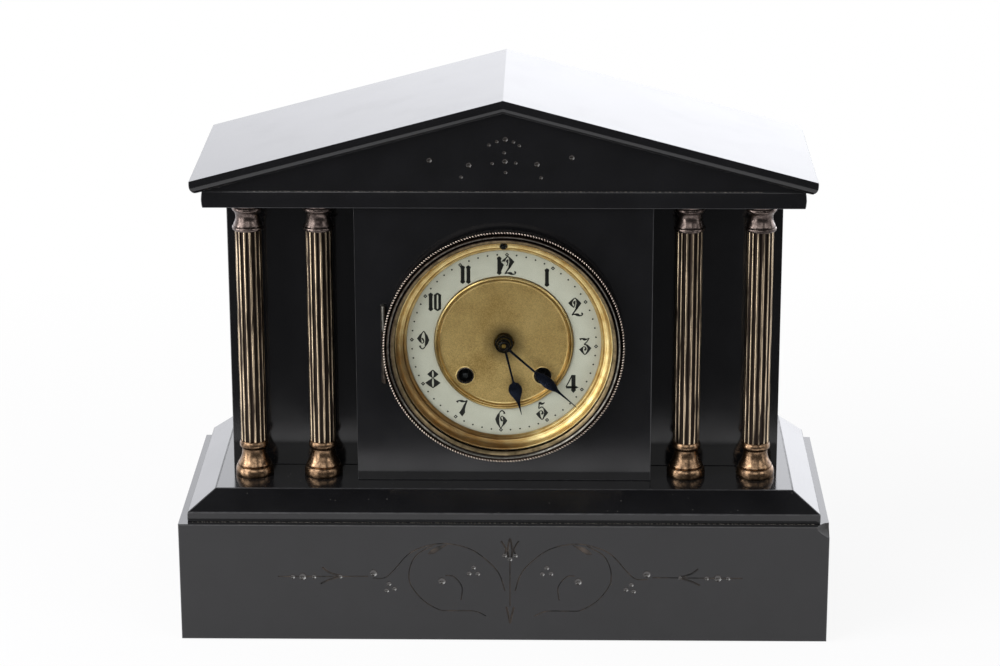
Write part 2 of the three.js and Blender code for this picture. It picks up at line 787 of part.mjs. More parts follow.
function handBlade(length, leaf, hub) {
  const side = [[shankHalf, leaf.start], [leaf.half, leaf.widest], [shankHalf, leaf.end]];
  const points = [
    ...side,
    [shankHalf / 4, length],
    [-shankHalf / 4, length],
    ...side.map(([x, z]) => [-x, z]).reverse(),
  ].map(([x, z]) => new THREE.Vector2(x, z));
  const from = Math.asin(shankHalf / hub);
  for (let i = 0; i <= columnSides; i += 1) {
    const angle = Math.PI / 2 + from + (i / columnSides) * (2 * Math.PI - 2 * from);
    points.push(polar(hub, angle));
  }
  return points;
}

function addHands() {
  const hourOutline = handBlade(centreRimRadius + hourHandOver, hourLeaf, colletRadius);
  const blade = slab(hourOutline, [], hourFront, hourBack);
  const boss = bar(0, 0, colletRadius, hourFront, centreFace - colletGap, columnSides);
  const hourBore = bar(0, 0, hourPipeRadius + clearance, hourFront - overrun, centreFace, columnSides);
  const hour = add(dial, 'hour_hand', cut(join(blade, boss), hourBore), bluedSteel);
  hour.rotation.y = hourAngle;
  const minuteHole = cannonPipeRadius + clearance;
  const outline = handBlade(sightRadius + minuteHandOver, minuteLeaf, minuteHole + handHubWall);
  const minuteBore = circlePoints(0, 0, minuteHole, columnSides);
  const minute = add(dial, 'minute_hand', slab(outline, [minuteBore], minuteFront, minuteBack), bluedSteel);
  minute.rotation.y = minuteAngle;
  const nutHole = arborRadius + clearance;
  const nutRadius = nutHole + handNutWall;
  const nut = [
    [nutHole, minuteFront], [nutRadius, minuteFront], [nutRadius - handNutEase, nutFront],
    [nutHole, nutFront],
  ];
  add(dial, 'hand_nut', turned(nut, columnSides), brass);
}

// Toothed wheels

function gearOutline(teeth, module, turn) {
  const pitchRadius = (teeth * module) / 2;
  const tip = pitchRadius + addendum * module;
  const root = pitchRadius - dedendum * module;
  const pitch = (2 * Math.PI) / teeth;
  const points = [];
  for (let tooth = 0; tooth < teeth; tooth += 1) {
    const middle = turn + tooth * pitch;
    points.push(polar(root, middle - toothRootHalf * pitch), polar(tip, middle - toothTipHalf * pitch));
    points.push(polar(tip, middle + toothTipHalf * pitch), polar(root, middle + toothRootHalf * pitch));
  }
  return points;
}

function gear(teeth, module, turn, y0, y1) {
  return slab(gearOutline(teeth, module, turn), [], y0, y1);
}

// The turn that puts a gap of the driven gear on the line of centres where the driver has a tooth
function meshTurn(driverTurn, driverTeeth, drivenTeeth, bearing) {
  const offset = ((driverTurn - bearing) * driverTeeth) / (2 * Math.PI);
  return bearing + Math.PI - ((offset + 0.5) * 2 * Math.PI) / drivenTeeth;
}

const centreDistance = (teethA, teethB, module) => ((teethA + teethB) * module) / 2 + meshSlack;

const bearingOf = (from, to) => Math.atan2(to.y - from.y, to.x - from.x);

// The arbor that stands at a given X, a gear's reach above or below another one
function meshedAt(from, reach, x, upward) {
  const rise = Math.sqrt(reach ** 2 - (x - from.x) ** 2);
  return new THREE.Vector2(x, from.y + upward * rise);
}

// Where each arbor stands, as X and Z from the dial's centre
const barrelReach = centreDistance(barrelTeeth, pinionLeaves, barrelModule);
const trainReach = centreDistance(wheelTeeth, pinionLeaves, trainModule);
const escapeReach = centreDistance(wheelTeeth, pinionLeaves, escapeModule);
const windingX = (barrelTeeth / 2 + addendum) * barrelModule + barrelHalfGap;
const centreAt = new THREE.Vector2(0, 0);
const intermediateAt = polar(trainReach, intermediateBearing);
const goingAt = meshedAt(intermediateAt, barrelReach, windingX, -1);
const strikeAt = new THREE.Vector2(-goingAt.x, goingAt.y);
const thirdAt = polar(trainReach, thirdBearing);
const escapeAt = meshedAt(thirdAt, escapeReach, 0, 1);
const anchorAt = new THREE.Vector2(0, escapeAt.y + palletRise);
const plateRadius = anchorAt.y + plateMargin;
const pinWheelAt = strikeAt.clone().add(polar(barrelReach, pinWheelBearing));
const flyAt = pinWheelAt.clone().add(polar(trainReach, flyBearing));
const hammerAt = flyAt.clone().add(new THREE.Vector2(-hammerLeftOfFly, hammerAboveFly));
const bellCentre = new THREE.Vector2(-bellLeft, -bellDrop);
const motionReach = centreDistance(cannonTeeth, minuteWheelTeeth, cannonModule);
const hourModule = (2 * (motionReach - meshSlack)) / (minutePinionTeeth + hourWheelTeeth);
const minuteWheelAt = polar(motionReach, minuteWheelBearing);

// An arbor with a pivot in each plate, drawn about its own axis
function arborParts(y0 = frontPlateFront, y1 = backPlateBack) {
  const shoulder = bar(0, 0, arborRadius, frontPlateBack + clearance, backPlateFront - clearance);
  return [shoulder, bar(0, 0, pivotRadius, y0, y1)];
}

// A pinion that runs a little past both faces of the wheel that it meshes with
function pinion(module, turn, level, thickness, over = pinionOver) {
  return gear(pinionLeaves, module, turn, level - over, level + thickness + over);
}

function addTurning(name, at, parts, material) {
  const mesh = add(dial, name, join(...parts), material);
  mesh.position.set(at.x, 0, at.y);
  return mesh;
}

// Plates: round, with a hole for every pivot; the front one carries the pillars and the minute stud
function plateHoles() {
  const hole = (at, radius) => circlePoints(at.x, at.y, radius + looseFit, pinSides);
  const pivots = [intermediateAt, thirdAt, escapeAt, pinWheelAt, flyAt];
  return [
    ...pivots.map((at) => hole(at, pivotRadius)),
    ...[goingAt, strikeAt].map((at) => hole(at, windingArborRadius)),
    ...[anchorAt, hammerAt].map((at) => hole(at, arborRadius)),
  ];
}

function addFrontPlate() {
  const outline = circlePoints(0, 0, plateRadius, ringSides);
  const centreHole = circlePoints(0, 0, arborRadius + looseFit, pinSides);
  const plate = slab(outline, [...plateHoles(), centreHole], frontPlateFront, frontPlateBack);
  const posts = pillarAngles.map((angle) => {
    const at = polar(plateRadius - pillarInset, angle);
    return bar(at.x, at.y, pillarRadius, frontPlateBack - overrun, backPlateFront);
  });
  const studFront = panBack + dialGap;
  const stud = bar(minuteWheelAt.x, minuteWheelAt.y, studRadius, studFront, frontPlateFront + overrun);
  add(dial, 'front_plate', join(plate, ...posts, stud), brass);
}

// The back plate carries the cock that the pendulum hangs from, and the regulator's post above it
function addBackPlate() {
  const outline = circlePoints(0, 0, plateRadius, ringSides);
  const centreHole = circlePoints(0, 0, pivotRadius + looseFit, pinSides);
  const plate = slab(outline, [...plateHoles(), centreHole], backPlateFront, backPlateBack);
  const bridgeFront = pendulumY - suspensionEyeHalf - cockCheek;
  const bridgeBack = pendulumY + suspensionEyeHalf + cockCheek;
  const legLow = anchorAt.y - suspensionEyeRadius;
  const barLow = anchorAt.y + suspensionEyeRadius + cockGap;
  const barHigh = barLow + cockBar;
  const legFront = backPlateBack - overrun;
  const cheekHalf = suspensionEyeRadius;
  const postHigh = regulatorRadius + regulatorPostOver;
  const parts = [
    plate,
    box(cockHalf - cockLeg, cockHalf, legFront, bridgeBack, legLow, barHigh),
    box(-cockHalf, cockLeg - cockHalf, legFront, bridgeBack, legLow, barHigh),
    box(-cockHalf, cockHalf, bridgeFront, bridgeBack, barLow, barHigh),
    box(-cheekHalf, cheekHalf, bridgeFront, bridgeFront + cockCheek, legLow, barHigh),
    box(-cheekHalf, cheekHalf, bridgeBack - cockCheek, bridgeBack, legLow, barHigh),
    bar(0, anchorAt.y, suspensionPinRadius, bridgeFront + overrun, bridgeBack - overrun),
    box(-regulatorPostHalf, regulatorPostHalf, bridgeBack - cockCheek, bridgeBack, barLow, postHigh),
  ];
  const holeRadius = regulatorArborRadius + looseFit;
  const hole = bar(0, regulatorRadius, holeRadius, bridgeFront, bridgeBack + overrun);
  add(dial, 'back_plate', cut(join(...parts), hole), brass);
}

// Spring barrels: a drum with the great wheel on its back rim, free on its winding arbor
function barrel() {
  const drumRadius = (barrelTeeth / 2 - dedendum) * barrelModule - drumRim;
  const drum = bar(0, 0, drumRadius, drumFront, greatLevel + overrun, smallRingSides);
  const wheel = gear(barrelTeeth, barrelModule, 0, greatLevel, greatLevel + greatWheelThickness);
  const bore = bar(0, 0, windingArborRadius + looseFit, frontPlateBack, backPlateFront);
  return cut(join(drum, wheel), bore);
}

function windingArbor() {
  const ratchet = [];
  for (let i = 0; i < ratchetTeeth; i += 1) {
    const angle = (2 * Math.PI * i) / ratchetTeeth;
    const foot = polar(ratchetRadius - ratchetToothDepth, angle + ratchetToothFace);
    ratchet.push(polar(ratchetRadius, angle), foot);
  }
  const half = windingSquare / 2;
  const ratchetBack = frontPlateFront - clearance;
  const ratchetFront = ratchetBack - ratchetThickness;
  return join(
    bar(0, 0, windingArborRadius, ratchetFront, backPlateBack),
    slab(ratchet, [], ratchetFront, ratchetBack),
    box(-half, half, panSeat - windingSquareProud, ratchetFront + overrun, -half, half),
  );
}

function addBarrels() {
  for (const [name, at] of [['going', goingAt], ['strike', strikeAt]]) {
    add(dial, `${name}_barrel`, barrel(), brass).position.set(at.x, 0, at.y);
    add(dial, `${name}_winding_arbor`, windingArbor(), steel).position.set(at.x, 0, at.y);
  }
}

// Going train: barrel, intermediate wheel, centre wheel, third wheel, escape wheel
function addGoingTrain() {
  const toIntermediate = meshTurn(0, barrelTeeth, pinionLeaves, bearingOf(goingAt, intermediateAt));
  addTurning('intermediate_wheel', intermediateAt, [
    ...arborParts(),
    gear(wheelTeeth, trainModule, 0, firstLevel, firstLevel + wheelThickness),
    pinion(barrelModule, toIntermediate, greatLevel, greatWheelThickness),
  ], brass);
  const toCentre = meshTurn(0, wheelTeeth, pinionLeaves, bearingOf(intermediateAt, centreAt));
  addTurning('centre_wheel', centreAt, [
    bar(0, 0, arborRadius, nutFront, backPlateFront - clearance),
    bar(0, 0, pivotRadius, frontPlateBack, backPlateBack),
    gear(wheelTeeth, trainModule, 0, lastLevel, lastLevel + lastWheelThickness),
    pinion(trainModule, toCentre, firstLevel, wheelThickness),
  ], brass);
  const toThird = meshTurn(0, wheelTeeth, pinionLeaves, bearingOf(centreAt, thirdAt));
  addTurning('third_wheel', thirdAt, [
    ...arborParts(),
    gear(wheelTeeth, escapeModule, 0, secondLevel, secondLevel + wheelThickness),
    pinion(trainModule, toThird, lastLevel, lastWheelThickness, clearance),
  ], brass);
  const toEscape = meshTurn(0, wheelTeeth, pinionLeaves, bearingOf(thirdAt, escapeAt));
  const saw = [];
  const pitch = (2 * Math.PI) / escapeTeeth;
  const root = escapeRadius - escapeToothDepth;
  for (let tooth = 0; tooth < escapeTeeth; tooth += 1) {
    saw.push(polar(escapeRadius, tooth * pitch), polar(root, (tooth + escapeToothBack) * pitch));
    saw.push(polar(root, (tooth + escapeToothFoot) * pitch));
  }
  addTurning('escape_wheel', escapeAt, [
    ...arborParts(),
    slab(saw, [], escapeLevel, escapeLevel + escapeThickness),
    pinion(escapeModule, toEscape, secondLevel, wheelThickness),
  ], brass);
}

// Pallet anchor: its arms straddle the escape wheel, and the crutch behind the back plate takes the rod
function addAnchor() {
  const reach = escapeRadius + palletGap;
  const tipX = reach * Math.sin(palletAngle);
  const tipZ = reach * Math.cos(palletAngle) - palletRise;
  const rightArm = [
    [anchorHub, 0], [tipX + palletWidth, tipZ + palletHeight], [tipX + palletWidth, tipZ], [tipX, tipZ],
    [tipX - palletWidth / 2, tipZ + palletHeight],
  ];
  const leftArm = rightArm.map(([x, z]) => [-x, z]).reverse();
  const arms = [...rightArm, [0, -anchorHub], ...leftArm, [0, anchorHub]];
  const outline = arms.map(([x, z]) => new THREE.Vector2(x, z));
  const forkIn = rodWidth / 2 + clearance;
  const forkOut = forkIn + crutchFork;
  const forkBack = pendulumY + rodThickness;
  const forkLow = -crutchLength;
  const forkHigh = forkLow + crutchForkHeight;
  const stemHalf = crutchWidth / 2;
  addTurning('pallet_anchor', anchorAt, [
    bar(0, 0, arborRadius, frontPlateFront, crutchBack),
    slab(outline, [], escapeLevel - palletOver, escapeLevel + escapeThickness + palletOver),
    bar(0, 0, anchorHub, crutchFront, crutchBack),
    box(-stemHalf, stemHalf, crutchFront, crutchBack, forkLow, 0),
    box(-forkOut, forkOut, crutchFront, crutchBack, forkLow, forkHigh),
    box(forkIn, forkOut, crutchFront, forkBack, forkLow, forkHigh),
    box(-forkOut, -forkIn, crutchFront, forkBack, forkLow, forkHigh),
  ], steel);
}

// Pendulum: it hangs by an eye on the cock's pin, and the bob rides on the rating nut
function addPendulum() {
  const eyeFront = pendulumY - rodThickness;
  const eyeBack = pendulumY + rodThickness;
  const half = rodWidth / 2;
  const bobLow = -pendulumLength - bobRadius;
  const nutTop = bobLow - clearance;
  const nutLow = nutTop - ratingNutHeight;
  const nutProfile = [[0, nutLow], [ratingNutRadius, nutLow], [ratingNutRadius, nutTop], [0, nutTop]];
  const nut = turnedUpright(nutProfile).translate(0, pendulumY, 0);
  const rodFront = pendulumY - rodThickness / 2;
  const rodBack = pendulumY + rodThickness / 2;
  const rod = join(
    bar(0, 0, suspensionEyeRadius, eyeFront, eyeBack, columnSides),
    box(-half, half, rodFront, rodBack, nutTop - overrun, overrun - suspensionEyeRadius),
    nut,
  );
  const eyeRadius = suspensionPinRadius + looseFit;
  const eye = bar(0, 0, eyeRadius, eyeFront - overrun, eyeBack + overrun, columnSides);
  add(dial, 'pendulum_rod', cut(rod, eye), brass).position.z = anchorAt.y;
  const front = bobCurve.map(([out, deep]) => [out * bobRadius, pendulumY - deep * bobThickness]);
  const back = bobCurve.map(([out, deep]) => [out * bobRadius, pendulumY + deep * bobThickness]).reverse();
  const lens = turned([
    [0, pendulumY - bobThickness / 2], ...front, ...back, [0, pendulumY + bobThickness / 2],
  ], smallRingSides).translate(0, 0, -pendulumLength);
  const way = half + clearance;
  const slotTop = bobRadius + overrun - pendulumLength;
  const slot = box(-way, way, rodFront - clearance, rodBack + clearance, bobLow - overrun, slotTop);
  add(dial, 'pendulum_bob', cut(lens, slot), brass).position.z = anchorAt.y;
}

// Motion work under the dial
function addMotionWork() {
  const cannonBack = frontPlateFront - cannonGap;
  const cannonFront = cannonBack - cannonLength;
  const wheelFront = cannonFront + minuteWheelSetback;
  const hourWheelBack = cannonFront - hourGap;
  const hourWheelFront = hourWheelBack - hourWheelThickness;
  const hubBack = frontPlateFront - clearance;
  const cannon = join(
    gear(cannonTeeth, cannonModule, 0, cannonFront, cannonBack),
    bar(0, 0, cannonPipeRadius, minuteFront + clearance, hubBack, columnSides),
  );
  const bore = bar(0, 0, arborRadius + clearance, minuteFront - overrun, frontPlateFront, columnSides);
  add(dial, 'cannon_pinion', cut(cannon, bore), steel);
  const minuteTurn = meshTurn(0, cannonTeeth, minuteWheelTeeth, minuteWheelBearing);
  const pinionFront = hourWheelFront - minuteWheelSetback;
  const pinionBack = wheelFront + minuteWheelSetback;
  const minute = join(
    gear(minuteWheelTeeth, cannonModule, minuteTurn, wheelFront, wheelFront + wheelThickness),
    gear(minutePinionTeeth, hourModule, 0, pinionFront, pinionBack),
    bar(0, 0, studRadius + studHubWall, wheelFront, hubBack, columnSides),
  );
  const studBore = bar(0, 0, studRadius + clearance, pinionFront - overrun, frontPlateFront, columnSides);
  const wheel = add(dial, 'minute_wheel', cut(minute, studBore), brass);
  wheel.position.set(minuteWheelAt.x, 0, minuteWheelAt.y);
  const hourTurn = meshTurn(0, minutePinionTeeth, hourWheelTeeth, minuteWheelBearing + Math.PI);
  const hour = join(
    gear(hourWheelTeeth, hourModule, hourTurn, hourWheelFront, hourWheelBack),
    bar(0, 0, hourPipeRadius, hourFront + clearance, hourWheelBack, columnSides),
  );
  const boreEnd = hourWheelBack + overrun;
  const hourBore = bar(0, 0, cannonPipeRadius + looseFit, hourFront - overrun, boreEnd, columnSides);
  add(dial, 'hour_wheel', cut(hour, hourBore), brass);
}

// Strike train: barrel, pin wheel, fly; the pins stand clear of the hammer's tail
function addStrikeTrain() {
  const toPinWheel = meshTurn(0, barrelTeeth, pinionLeaves, bearingOf(strikeAt, pinWheelAt));
  const pinBack = firstLevel + wheelThickness + liftPinLength;
  const pins = circlePoints(0, 0, liftPinCircle, liftPins).map((at) => (
    bar(at.x, at.y, liftPinRadius, firstLevel + overrun, pinBack, liftPinSides)
  ));
  addTurning('pin_wheel', pinWheelAt, [
    ...arborParts(),
    gear(wheelTeeth, trainModule, 0, firstLevel, firstLevel + wheelThickness),
    pinion(barrelModule, toPinWheel, greatLevel, greatWheelThickness),
    ...pins,
  ], brass);
  const toFly = meshTurn(0, wheelTeeth, pinionLeaves, bearingOf(pinWheelAt, flyAt));
  const vaneFront = secondLevel + wheelThickness + flyFrontGap;
  const vaneBack = greatLevel - flyBackGap;
  addTurning('fly', flyAt, [
    ...arborParts(),
    box(-flyRadius, flyRadius, vaneFront, vaneBack, -flyVane / 2, flyVane / 2),
    pinion(trainModule, toFly, firstLevel, wheelThickness),
  ], brass);
}

// A flat link between two points of the X and Z plane
function link(from, to, width, y0, y1) {
  const way = to.clone().sub(from);
  const off = new THREE.Vector2(-way.y, way.x).setLength(width / 2);
  const corners = [from.clone().add(off), from.clone().sub(off), to.clone().sub(off), to.clone().add(off)];
  return slab(corners, [], y0, y1);
}

function addHammer() {
  const origin = new THREE.Vector2(0, 0);
  const headReach = bellRadius + hammerHeadRadius + hammerHeadGap;
  const head = bellCentre.clone().add(polar(headReach, hammerHeadBearing)).sub(hammerAt);
  const pinsReach = liftPinCircle + liftPinRadius + palletGap;
  const tail = pinWheelAt.clone().sub(hammerAt);
  tail.setLength(tail.length() - pinsReach);
  const tailFront = firstLevel + wheelThickness + hammerTailGap;
  const armFront = crutchFront;
  const armBack = armFront + leverThickness;
  addTurning('hammer', hammerAt, [
    bar(0, 0, arborRadius, frontPlateFront, armBack),
    link(origin, tail, hammerTailWidth, tailFront, tailFront + leverThickness),
    link(origin, head, hammerArmWidth, armFront, armBack),
    bar(head.x, head.y, hammerHeadRadius, armFront, bellRim + hammerHeadOver, columnSides),
  ], steel);
}

function addBell() {
  const foot = polar(plateRadius - bellFootInset, bellFootBearing);
  const crown = bellRim + bellDepth;
  const armBack = bellRim - bellArmGap;
  const armFront = armBack - bellArmThickness;
  const { x, y } = bellCentre;
  const stand = join(
    bar(foot.x, foot.y, bellStandRadius, backPlateBack, armBack),
    link(foot, bellCentre, 2 * bellStandRadius, armFront, armBack),
    bar(x, y, bellStandRadius, armFront, crown - bellWall - clearance),
    bar(x, y, bellSpindleRadius, armFront, crown + bellSpindleProud),
  );
  add(dial, 'bell_stand', stand, steel);
  const hole = bellSpindleRadius + clearance;
  const outside = bellCurve.map(([out, back]) => [out * bellRadius, bellRim + back * bellDepth]);
  const inside = outside.map(([radius, back]) => [radius - bellWall, Math.max(bellRim, back - bellWall)]);
  const cup = turned([
    ...outside, [hole, crown], [hole, crown - bellWall], ...inside.reverse(),
  ], smallRingSides);
  add(dial, 'bell', cup, bellMetal).position.set(x, 0, y);
}

function addRegulator() {
  const half = regulatorSquare / 2;
  const squareFront = panelFront - regulatorSquareRise * sightHeight;
  const end = pendulumY + suspensionEyeHalf + cockCheek;
  const arbor = join(
    bar(0, 0, regulatorArborRadius, panelFront, end),
    box(-half, half, squareFront, panelFront + overrun, -half, half),
  );
  add(dial, 'regulator_arbor', arbor, steel).position.z = regulatorRadius;
}

// Rear door: a ring seated in the back panel's opening, with hinge knuckles, and a round door with a knob

function addRearDoor() {
  const flangeRadius = rearBoreRadius + rearFlange;
  const sleeveOut = rearBoreRadius - clearance;
  const sleeveIn = sleeveOut - rearRingThickness;
  const ringBack = bodyBack + rearRingThickness;
  const doorFront = ringBack + clearance;
  const doorBack = doorFront + rearDoorThickness;
  const axisX = flangeRadius + hingeKnuckleRadius + clearance;
  const axisY = bodyBack + hingeKnuckleRadius + clearance;
  const half = rearHingeHeight / 2;
  const third = rearHingeHeight / 3;
  const ring = turned([
    [sleeveIn, bodyBack - rearSleeveLength], [sleeveOut, bodyBack - rearSleeveLength], [sleeveOut, bodyBack],
    [flangeRadius, bodyBack], [flangeRadius, ringBack], [sleeveIn, ringBack],
  ]);
  const lug = (low, high) => [
    uprightBar(axisX, axisY, hingeKnuckleRadius, low, high),
    box(flangeRadius - rearLugReach, axisX, bodyBack, ringBack, low, high),
  ];
  const pin = uprightBar(axisX, axisY, hingePinRadius, -half, half);
  const fixed = join(ring, pin, ...lug(-half, -third / 2 - clearance), ...lug(third / 2 + clearance, half));
  add(dial, 'rear_ring', fixed, brass);
  const doorRadius = flangeRadius - rearDoorInset;
  const disc = turned([
    [0, doorFront], [doorRadius, doorFront], [doorRadius, doorBack], [rearKnobRadius, doorBack],
    [rearKnobRadius, doorBack + rearKnobHeight], [0, doorBack + rearKnobHeight],
  ]);
  const leaf = box(doorRadius - rearLugReach, axisX, doorFront, doorBack, -third / 2, third / 2);
  const knuckle = uprightBar(axisX, axisY, hingeKnuckleRadius, -third / 2, third / 2);
  const bore = uprightBar(axisX, axisY, hingePinRadius + clearance, -half, half);
  const notch = box(doorRadius, axisX - overrun, bodyBack, doorFront, -third, third);
  add(dial, 'rear_door', cut(join(disc, leaf, knuckle), bore, notch), brass);
}

addPlinth();
addStep();
addBody();
addEntablature();
addGables();
addRoof();
addColumns();
addBezel();
addBezelHinge();
addPan();
addDial();
addHands();
addFrontPlate();
addBackPlate();
addBarrels();
addGoingTrain();
addAnchor();
addPendulum();
addMotionWork();
addStrikeTrain();
addHammer();
addBell();
addRegulator();
addRearDoor();

export default clock;
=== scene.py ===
# %% [markdown]
# # A temple-form mantel clock in polished black stone
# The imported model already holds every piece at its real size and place. This lesson dresses it: eased and
# carved stone, turned and fluted bronze, an enamel dial under glass, and the movement behind it. All
# lengths below are in millimetres and become metres through MM.

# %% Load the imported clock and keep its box
import json
import math

import bpy
from mathutils import Matrix, Vector

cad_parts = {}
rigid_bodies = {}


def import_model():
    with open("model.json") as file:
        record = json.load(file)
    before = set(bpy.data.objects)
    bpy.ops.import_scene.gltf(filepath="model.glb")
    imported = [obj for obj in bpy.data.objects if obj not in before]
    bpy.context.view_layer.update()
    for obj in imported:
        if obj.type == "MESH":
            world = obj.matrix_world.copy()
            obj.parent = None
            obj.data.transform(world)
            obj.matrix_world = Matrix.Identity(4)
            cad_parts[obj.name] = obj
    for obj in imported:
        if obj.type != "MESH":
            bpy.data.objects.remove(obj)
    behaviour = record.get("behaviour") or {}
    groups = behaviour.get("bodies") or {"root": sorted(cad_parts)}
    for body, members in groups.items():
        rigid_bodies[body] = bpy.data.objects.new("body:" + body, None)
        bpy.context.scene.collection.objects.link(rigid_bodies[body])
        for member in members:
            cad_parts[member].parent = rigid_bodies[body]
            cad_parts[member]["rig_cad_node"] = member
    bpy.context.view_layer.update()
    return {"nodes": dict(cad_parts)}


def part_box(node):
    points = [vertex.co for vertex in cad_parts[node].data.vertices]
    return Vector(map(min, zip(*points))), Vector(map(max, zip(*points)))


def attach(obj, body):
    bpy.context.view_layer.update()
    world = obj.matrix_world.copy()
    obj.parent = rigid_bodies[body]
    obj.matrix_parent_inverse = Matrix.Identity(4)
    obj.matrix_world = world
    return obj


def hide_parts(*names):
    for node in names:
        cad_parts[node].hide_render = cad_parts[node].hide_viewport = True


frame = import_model()
MM = 0.001

# %% [markdown]
# ## Helpers for colour and shader nodes
# Colours are written as sRGB hex values, as a paint chart gives them, and turned to linear light once.
# One function adds any node with its settings, plain values and links, so a finish reads from top to bottom.

# %% Colour and node helpers


def linear(code):
    channels = [int(code[i:i + 2], 16) / 255 for i in (1, 3, 5)]
    return [c / 12.92 if c <= 0.04045 else ((c + 0.055) / 1.055) ** 2.4 for c in channels] + [1.0]


def connect(tree, node, links):
    """Links sockets to their sources: outputs, or nodes that stand for their first output."""
    for socket, source in dict(links).items():
        output = source if isinstance(source, bpy.types.NodeSocket) else source.outputs[0]
        tree.links.new(output, node.inputs[socket])


def add(tree, kind, values=(), links=(), **settings):
    node = tree.nodes.new("ShaderNode" + kind)
    for name, value in settings.items():
        setattr(node, name, value)
    for socket, value in dict(values).items():
        node.inputs[socket].default_value = value
    connect(tree, node, links)
    return node


def new_finish(name, values=()):
    """A new material with its node tree, its main shader and the Object coordinates of its patterns."""
    material = bpy.data.materials.new(name)
    material.use_nodes = True
    tree = material.node_tree
    shader = tree.nodes["Principled BSDF"]
    for socket, value in dict(values).items():
        shader.inputs[socket].default_value = value
    return material, tree, shader, add(tree, "TexCoord").outputs["Object"]


def per_mm(size):
    return 1 / (size * MM)


print("helpers ready")

# %% [markdown]
# ## Polished black stone
# The case is a dense black limestone or slate, sawn, rubbed and waxed to a gloss. It gives the eye a black
# that is never quite flat: cloudy greys a couple of centimetres across, a polish that wanders a little, and
# dust that settles in specks. Noise in Object coordinates draws the clouds, and scattered cells draw dust.

# %% Black stone
STONE_IOR = 1.52
black_stone, tree, shader, where = new_finish("polished_black_stone", {"IOR": STONE_IOR})
cloud = add(tree, "TexNoise", {"Scale": per_mm(22), "Detail": 7.0, "Roughness": 0.6}, {"Vector": where})
tone = add(tree, "Mix", {6: linear("#09090a"), 7: linear("#171719")}, {0: cloud}, data_type="RGBA")
cells = add(tree, "TexVoronoi", {"Scale": per_mm(6)}, {"Vector": where})
speck = add(tree, "MapRange", {1: 0.06, 2: 0.03, 3: 0.0, 4: 0.5}, {0: cells.outputs["Distance"]})
facing = add(tree, "SeparateXYZ", {}, {0: add(tree, "NewGeometry").outputs["Normal"]})
level = add(tree, "MapRange", {1: 0.3, 2: 0.8}, {0: facing.outputs["Z"]})
lying = add(tree, "Math", {}, {0: speck, 1: level}, operation="MULTIPLY")
dusted = add(tree, "Mix", {7: linear("#8d8a86")}, {0: lying, 6: tone.outputs[2]}, data_type="RGBA")
polish = add(tree, "TexNoise", {"Scale": per_mm(35), "Detail": 5.0}, {"Vector": where})
gloss = add(tree, "MapRange", {1: 0.3, 2: 0.7, 3: 0.09, 4: 0.17}, {0: polish})
wave = add(tree, "TexNoise", {"Scale": per_mm(70), "Detail": 2.0}, {"Vector": where})
rubbed = add(tree, "Bump", {"Strength": 0.25, "Distance": 0.05 * MM}, {"Height": wave})
connect(tree, shader, {"Base Color": dusted.outputs[2], "Roughness": gloss, "Normal": rubbed})
print("made", black_stone.name)

# %% [markdown]
# Most other finishes are simpler: one tone drifts to another in clouds of a known size, the gloss may follow
# the tone, and there may be a fine relief. One helper makes them all. The first is the worn edge of the
# stone, which is paler and duller than its faces: its paler tone is partly wear and partly a painted
# highlight.

# %% Mottled finishes and the worn stone edge


def mottled(name, tones, grain, detail, rough=0.5, spread=(0, 1), gloss=None, relief=None, **surface):
    """A finish that drifts from one tone to another in clouds of so many millimetres.

    gloss is the roughness at each tone, and relief a bump of (strength, depth, grain, detail).
    """
    material, tree, shader, where = new_finish(name, surface)
    cloud = add(
        tree, "TexNoise", {"Scale": per_mm(grain), "Detail": detail, "Roughness": rough}, {"Vector": where}
    )
    share = add(tree, "MapRange", dict(zip((1, 2), spread)), {0: cloud})
    tone = add(tree, "Mix", dict(zip((6, 7), map(linear, tones))), {0: share}, data_type="RGBA")
    connect(tree, shader, {"Base Color": tone.outputs[2]})
    if gloss:
        shine = add(tree, "MapRange", dict(zip((3, 4), gloss)), {0: share})
        connect(tree, shader, {"Roughness": shine})
    if relief:
        strength, depth, grain, detail = relief
        rise = add(tree, "TexNoise", {"Scale": per_mm(grain), "Detail": detail}, {"Vector": where})
        bump = add(tree, "Bump", {"Strength": strength, "Distance": depth * MM}, {"Height": rise})
        connect(tree, shader, {"Normal": bump})
    return material


# The edge's paler tone is partly real wear and partly a painted highlight along the edges.
stone_edge_wear_and_painted_highlight = mottled("worn_stone_edge", ("#161617", "#454547"), 4, 6, gloss=(0.2, 0.5), IOR=STONE_IOR)
print("made", stone_edge_wear_and_painted_highlight.name)

# %% [markdown]
# ## Slabs with eased edges
# The real case is built up from sawn slabs, and every arris is rubbed off by about half a millimetre so that
# it doesn't chip. A copy of each packed slab is welded, its flat triangles are joined, and a Bevel modifier
# eases its edges. The bevel paints its own faces with the worn edge finish, whose paler tone is partly wear
# and partly a painted highlight: it draws the thin pale lines along the case's edges.

# %% Slab helpers


def only(piece):
    bpy.ops.object.select_all(action="DESELECT")
    piece.select_set(True)
    bpy.context.view_layer.objects.active = piece


def paint(piece, *materials):
    piece.data.materials.clear()
    for material in materials:
        piece.data.materials.append(material)


def settle(piece, body, slot, *nodes):
    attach(piece, body)
    if nodes:
        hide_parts(*nodes)


def copy_of(node, name):
    only(frame["nodes"][node])
    bpy.ops.object.duplicate()
    piece = bpy.context.object
    piece.parent = None
    del piece["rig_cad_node"]
    piece.name = name
    bpy.ops.mesh.customdata_custom_splitnormals_clear()
    bpy.ops.object.mode_set(mode="EDIT")
    bpy.ops.mesh.select_all(action="SELECT")
    bpy.ops.mesh.remove_doubles(threshold=0.005 * MM)
    bpy.ops.mesh.dissolve_limited(angle_limit=math.radians(0.5))
    bpy.ops.object.mode_set(mode="OBJECT")
    return piece


